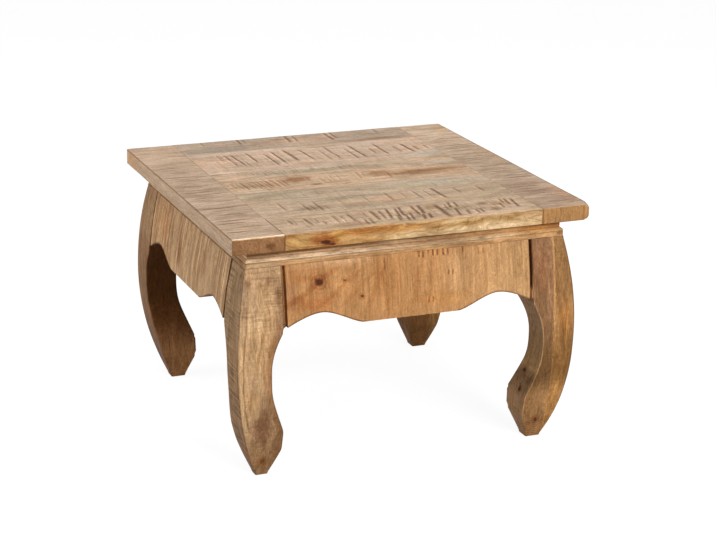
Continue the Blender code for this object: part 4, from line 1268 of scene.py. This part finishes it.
LEG_TONES = {
    "front_left": ((0.51, 0.315, 0.165), (0.51, 0.315, 0.165)),
    "front_right": ((0.3, 0.155, 0.072), (0.357, 0.184, 0.069)),
    "back_left": ((0.31, 0.135, 0.049), (0.345, 0.2, 0.1)),
    "back_right": ((0.218, 0.098, 0.033), (0.288, 0.141, 0.048)),
}
LEG_SILHOUETTES = {
    "front_left": ((1, 0), (0, 1)),
    "front_right": ((1, 1), (0, 0)),
    "back_left": ((1, 1), (0, 0)),
    "back_right": ((0, 1), (1, 0)),
}


def leg_woods():
    looks = {}
    marks = {"front_left": front_left_marks, "front_right": front_right_marks,
             "back_left": back_left_tones}
    for number, corner in enumerate(CORNERS):
        for board, base in zip(("inner", "outer"), LEG_TONES[corner]):
            apart = board == "outer" and corner != "front_left"
            seed = 81.0 + number * 4.7 + (20.0 if apart else 0.0)
            wood = Wood(f"wood_leg_{corner}_{board}", "Z", toned(base, 0.34), seed, smudges=1.7,
                        streaks=1.4, fibres=0.17, grit=0.1, wander=0.03)
            wood.follow_leg()
            amount = 0.1 if corner.startswith("front") else 0.05
            wood.ripple("Z", "X" if board == "inner" else "Y", amount, 0.0034)
            wood.pores(0.4)
            if corner in marks:
                marks[corner](wood, board)
            for across, along in LEG_SILHOUETTES[corner]:
                wood.leg_arris(across, along, (0.46, 0.4, 0.38), 0.85)
            looks[f"leg_{corner}_{board}_board"] = wood.finish(specular=0.08)
    return looks


def back_left_tones(wood, board):
    """Darker downward outside. Its front, which looks in under the table, is paler on the inner board, and
    painted shade darkens the outer board and everything above the foot.
    """
    outside = wood.looking("X", -1)
    wood.tint(outside * wood.ramp("Z", 0.285, 0.235), (0.77, 0.69, 0.65))
    wood.tint(outside * wood.ramp("Z", 0.15, 0.09), (0.72, 0.68, 0.68))
    # Painted shade on the front, which looks in under the table: over the outer board and above the foot
    front = wood.looking("Y", -1)
    wood.tint(front, (1.13, 1.21, 1.3) if board == "inner" else (1.017, 0.816, 0.641))
    wood.tint(front * wood.ramp("Z", 0.055, 0.105), (0.58, 0.48, 0.37))


def front_left_marks(wood, _):
    """Pale lines down the front's outer side, saw lines at the head and a stain near the foot."""
    side = wood.looking("X", -1)
    front = wood.looking("Y", -1)
    wood.patches((
        ((-245, -288, 225), (28, 50, 85), (1.24, 1.2, 1.1)),
    ))
    wood.leg_band(-0.2, 0.2, 0.1, (0.02, 0.27), (0.66, 0.56, 0.5), 0.95)
    wood.leg_band(0.4, 0.48, 0.03, (0.19, 0.27), (0.62, 0.56, 0.46), 0.8)
    wood.leg_band(0.88, 0.97, 0.02, (0.07, 0.245), (1.28, 1.31, 1.3), 0.95)
    wood.leg_band(0.83, 0.87, 0.015, (0.09, 0.3), (0.64, 0.56, 0.48), 0.9)
    wood.leg_band(0.74, 0.82, 0.02, (0.09, 0.28), (1.24, 1.22, 1.18), 0.9)
    wood.ripple("Z", "X", 0.3, 0.0028, wood.within("Z", 0.262, 0.342, 0.014), front, wave=0.016)
    wood.patches((
        ((-215.5, -280, 301), (11, 30, 34), (0.5, 0.41, 0.36)),
        ((-240, -280, 316), (16, 30, 20), (0.88, 0.84, 0.76)),
        ((-256, -285, 258), (20, 50, 40), (1.26, 1.36, 1.48)),
        ((-262, -285, 138), (14, 50, 28), (1.18, 1.12, 1.02)),
        ((-276, -280, 306), (6, 30, 45), (0.66, 0.66, 0.68)),
        ((-266.5, -280, 327), (6, 30, 10), (0.5, 0.42, 0.36)),
        ((-250, -280, 325), (30, 30, 26), (1.16, 1.16, 1.2)),
        ((-244, -270, 88), (24, 50, 40), (0.51, 0.39, 0.36), 0.95, 0.8),
    ))
    wood.marks("Z", "X", (
        (343.5, -245, 24, 2.2, 0.5, 0.03), (334, -243, 26, 2.4, 0.6, -0.03), (328, -228, 12, 2.2, 0.6),
        (322.5, -237, 20, 2.2, 0.5, -0.03), (310, -222.5, 9, 2.2, 0.7), (302, -222.5, 9, 2.2, 0.6),
    ), 0.25, (0.66, 0.55, 0.47), (1.06, 1.06, 1.06))
    wood.slope("Z", 0.1, 0.015, (0.74, 0.64, 0.55))
    wood.knot((-0.24, -0.25, 0.0275), (0.0042, 0.02, 0.0046), 0.9, (0.2, 0.065, 0.015))
    wood.tint(side, (0.7, 0.7, 0.68))
    wood.tint(side * wood.ramp("Z", 0.28, 0.15), (0.77, 0.7, 0.66))
    wood.patches((
        ((-285, -276, 318), (20, 12, 34), (1.3, 1.34, 1.46)),
    ))
    wood.ripple("Z", "Y", 0.5, 0.0044, side, wave=0.006)
    wood.leg_arris(1, 1, (0.6, 0.52, 0.46), 0.8, 0.03, (0.24, 0.4))


def front_right_marks(wood, board):
    """A mauve inner and an ochre outer board, with the pale glue line between them, painted light and
    shade on the inner side, and a painted highlight down the inner front arris with painted shade above it
    by the apron's groove.
    """
    x, z = wood.axes["X"], wood.axes["Z"]
    wood.slope("Z", 0.24, 0.14, (0.61, 0.59, 0.49) if board == "inner" else (0.655, 0.605, 0.505))
    wood.slope("Z", 0.125, 0.065, (2.32, 2.42, 2.56))
    scratched = fade(stretched_noise(wood.place, (430.0, 430.0, 130.0), 2.0), 0.5, 0.62)
    scratched = scratched * wood.within("Z", 0.13, 0.28, 0.02) * wood.within("X", 0.24, 0.262, 0.01)
    wood.tint(scratched, (1.36, 1.38, 1.38))
    ring = calc("SQRT", calc("POWER", x - 0.236, 2.0) + calc("POWER", z - 0.062, 2.0))
    foot = fade(calc("SINE", ring * 1500.0), -0.4, 0.9) * wood.ramp("Z", 0.045, 0.025)
    wood.tint(foot, (0.66, 0.56, 0.46), 0.75)
    wood.patches((
        ((228, -275, 300), (20, 40, 45), (1.04, 0.92, 0.9)),
    ))
    glue = fade(absolute(x - (GLUE_PLANE + 0.0006)), 0.0026, 0.0008)
    wood.tint(glue * wood.ramp("Z", 0.18, 0.27, 0.25, 1.0), (1.75, 1.8, 1.82), 0.9)
    # Painted light on the inner side below the apron and painted shade on it under the apron; darker again
    # near the foot
    inside = wood.looking("X", -1)
    wood.tint(inside * wood.ramp("Z", 0.278, 0.262), (2.7, 3.14, 3.62))
    wood.tint(inside * wood.ramp("Z", 0.262, 0.278), (0.4, 0.32, 0.28))
    wood.tint(inside * wood.ramp("Z", 0.128, 0.106), (0.39, 0.365, 0.38))
    # Painted shade beside the apron's groove at the head; lower down, a painted highlight on the same
    # arris
    wood.leg_arris(0, 1, (0.46, 0.4, 0.36), 0.9, 0.055, (0.292, 0.4))
    wood.leg_arris(0, 1, (1.6, 1.66, 1.68), 0.8, 0.04, (0.03, 0.28))
    wood.leg_band(0.72, 0.78, 0.02, (0.06, 0.22), (1.28, 1.26, 1.22), 0.8)
    wood.leg_band(0.38, 0.42, 0.015, (0.16, 0.29), (1.4, 1.4, 1.36), 0.7)
    wood.leg_band(0.55, 0.66, 0.03, (0.16, 0.28), (0.84, 0.78, 0.7), 0.8)
    wood.patches((
        ((272, -280, 215), (16, 30, 40), (1.22, 1.06, 0.84), 0.8),
    ))
    wood.knot((0.235, -0.247, 0.035), (0.0042, 0.03, 0.0045), 0.95, (0.07, 0.02, 0.012))
    wood.knot((0.214, -0.25, 0.087), (0.02, 0.0042, 0.0052), 0.95, (0.03, 0.016, 0.01))
    wood.knot((0.224, -0.244, 0.117), (0.02, 0.005, 0.0042), 0.9, (0.04, 0.018, 0.01))


# Finishes of what stays as it is in the frame

def hidden_woods():
    """The blocks and dowels inside, in raw wood, and the plated screws."""
    block = Wood("wood_corner_blocks", "Z", toned((0.44, 0.29, 0.16), 0.25), 131.0)
    block.ripple("Z", "X", 0.16, 0.003)
    block.pores(0.4)
    dowel = Wood("wood_dowels", "Z", toned((0.57, 0.415, 0.24), 0.16), 137.0)
    dowel.pores(0.4)
    plated = plated_steel()
    finishes = {"corner_block": block.finish(0.7), "dowel": dowel.finish(0.7), "block_screw": plated,
                "top_screw": plated}
    for name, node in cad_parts.items():
        for start, material in finishes.items():
            if name.startswith(start):
                node.data.materials.clear()
                node.data.materials.append(material)


def plated_steel():
    material = bpy.data.materials.new("zinc_plated_screw")
    material.use_nodes = True
    tree = material.node_tree
    shader = tree.nodes["Principled BSDF"]
    cloud = noise_value(node_value(tree, "ShaderNodeTexCoord", output="Object"), 900.0)
    put(shader.inputs["Base Color"], mix(cloud, (0.42, 0.38, 0.28), (0.66, 0.62, 0.5)))
    put(shader.inputs["Roughness"], fade(cloud, 0.2, 0.8, 0.28, 0.46))
    put(shader.inputs["Metallic"], 1.0)
    return material


# Floor, light and camera

def shown_rays(tree):
    """1 for rays that show the background itself: to the camera, in gloss and through glass."""
    rays = add(tree, "ShaderNodeLightPath").outputs
    camera, gloss, glass = (Value(rays[f"Is {kind} Ray"]) for kind in ("Camera", "Glossy", "Transmission"))
    return calc("ADD", camera, calc("ADD", gloss, glass, clamp=True), clamp=True)


def build_floor():
    bm = bmesh.new()
    bmesh.ops.create_grid(bm, x_segments=1, y_segments=1, size=14.0)
    mesh = bpy.data.meshes.new("floor")
    bm.to_mesh(mesh)
    bm.free()
    floor = bpy.data.objects.new("floor", mesh)
    bpy.context.collection.objects.link(floor)
    material = bpy.data.materials.new("pale_floor")
    material.use_nodes = True
    tree = material.node_tree
    tree.nodes.clear()
    bounce = node_value(tree, "ShaderNodeBsdfDiffuse", {"Color": (0.16, 0.15, 0.14)})
    pale = node_value(tree, "ShaderNodeBsdfDiffuse", {"Color": (0.2, 0.2, 0.2)})
    glow = node_value(tree, "ShaderNodeEmission", {"Color": (1.0, 1.0, 1.0), "Strength": 0.9})
    seen = node_value(tree, "ShaderNodeAddShader", {0: pale, 1: glow})
    both = node_value(tree, "ShaderNodeMixShader", {"Fac": shown_rays(tree), 1: bounce, 2: seen})
    add(tree, "ShaderNodeOutputMaterial", {"Surface": both})
    mesh.materials.append(material)


def build_world():
    """White where it shows; as light it is soft, and comes mostly from above."""
    world = bpy.data.worlds.new("studio")
    bpy.context.scene.world = world
    world.use_nodes = True
    tree = world.node_tree
    sky = tree.nodes["Background"]
    put(sky.inputs["Color"], (1.0, 1.0, 1.0))
    rise = xyz(node_value(tree, "ShaderNodeTexCoord", output="Generated"))["Z"]
    soft = fade(rise, 0.05, 0.9, 0.04, 0.45)
    put(sky.inputs["Strength"], calc("MAXIMUM", soft, shown_rays(tree)))


def add_lamp(name, place, target, size, power):
    light = bpy.data.lights.new(name, "AREA")
    light.shape = "RECTANGLE"
    light.size, light.size_y = size
    light.energy = power
    lamp = bpy.data.objects.new(name, light)
    lamp.location = place
    lamp.rotation_euler = (Vector(target) - Vector(place)).to_track_quat("-Z", "Y").to_euler()
    bpy.context.collection.objects.link(lamp)


def build_lights():
    middle = (0, 0, 0.25)
    add_lamp("key_front", (0.75, -3.2, 1.45), middle, (1.6, 1.0), 92)
    add_lamp("fill_left", (-3.1, 0.45, 0.85), middle, (1.8, 1.3), 50)
    add_lamp("soft_top", (0.0, -0.2, 3.2), middle, (2.4, 2.4), 32)


def build_camera():
    forward = Vector((sin(CAMERA_YAW) * cos(CAMERA_PITCH), cos(CAMERA_YAW) * cos(CAMERA_PITCH),
                      -sin(CAMERA_PITCH)))
    level = Vector((cos(CAMERA_YAW), -sin(CAMERA_YAW), 0))
    upright = level.cross(forward)
    right = level * cos(CAMERA_ROLL) + upright * sin(CAMERA_ROLL)
    up = upright * cos(CAMERA_ROLL) - level * sin(CAMERA_ROLL)
    data = bpy.data.cameras.new("camera")
    data.lens = CAMERA_LENS
    data.sensor_width = 36.0
    data.sensor_fit = "HORIZONTAL"
    data.clip_start = 0.05
    camera = bpy.data.objects.new("camera", data)
    camera.matrix_world = Matrix((right, up, -forward)).transposed().to_4x4()
    camera.location = CAMERA_PLACE
    bpy.context.collection.objects.link(camera)
    bpy.context.scene.camera = camera


def main():
    woods = {**plank_woods(), **end_board_woods(), **frame_woods(), **leg_woods()}
    build_planks(woods)
    build_end_boards(woods)
    build_mouldings(woods)
    build_aprons(woods)
    build_legs(woods)
    hidden_woods()
    build_floor()
    build_world()
    build_lights()
    build_camera()
    bpy.context.scene.view_settings.view_transform = "Standard"


main()
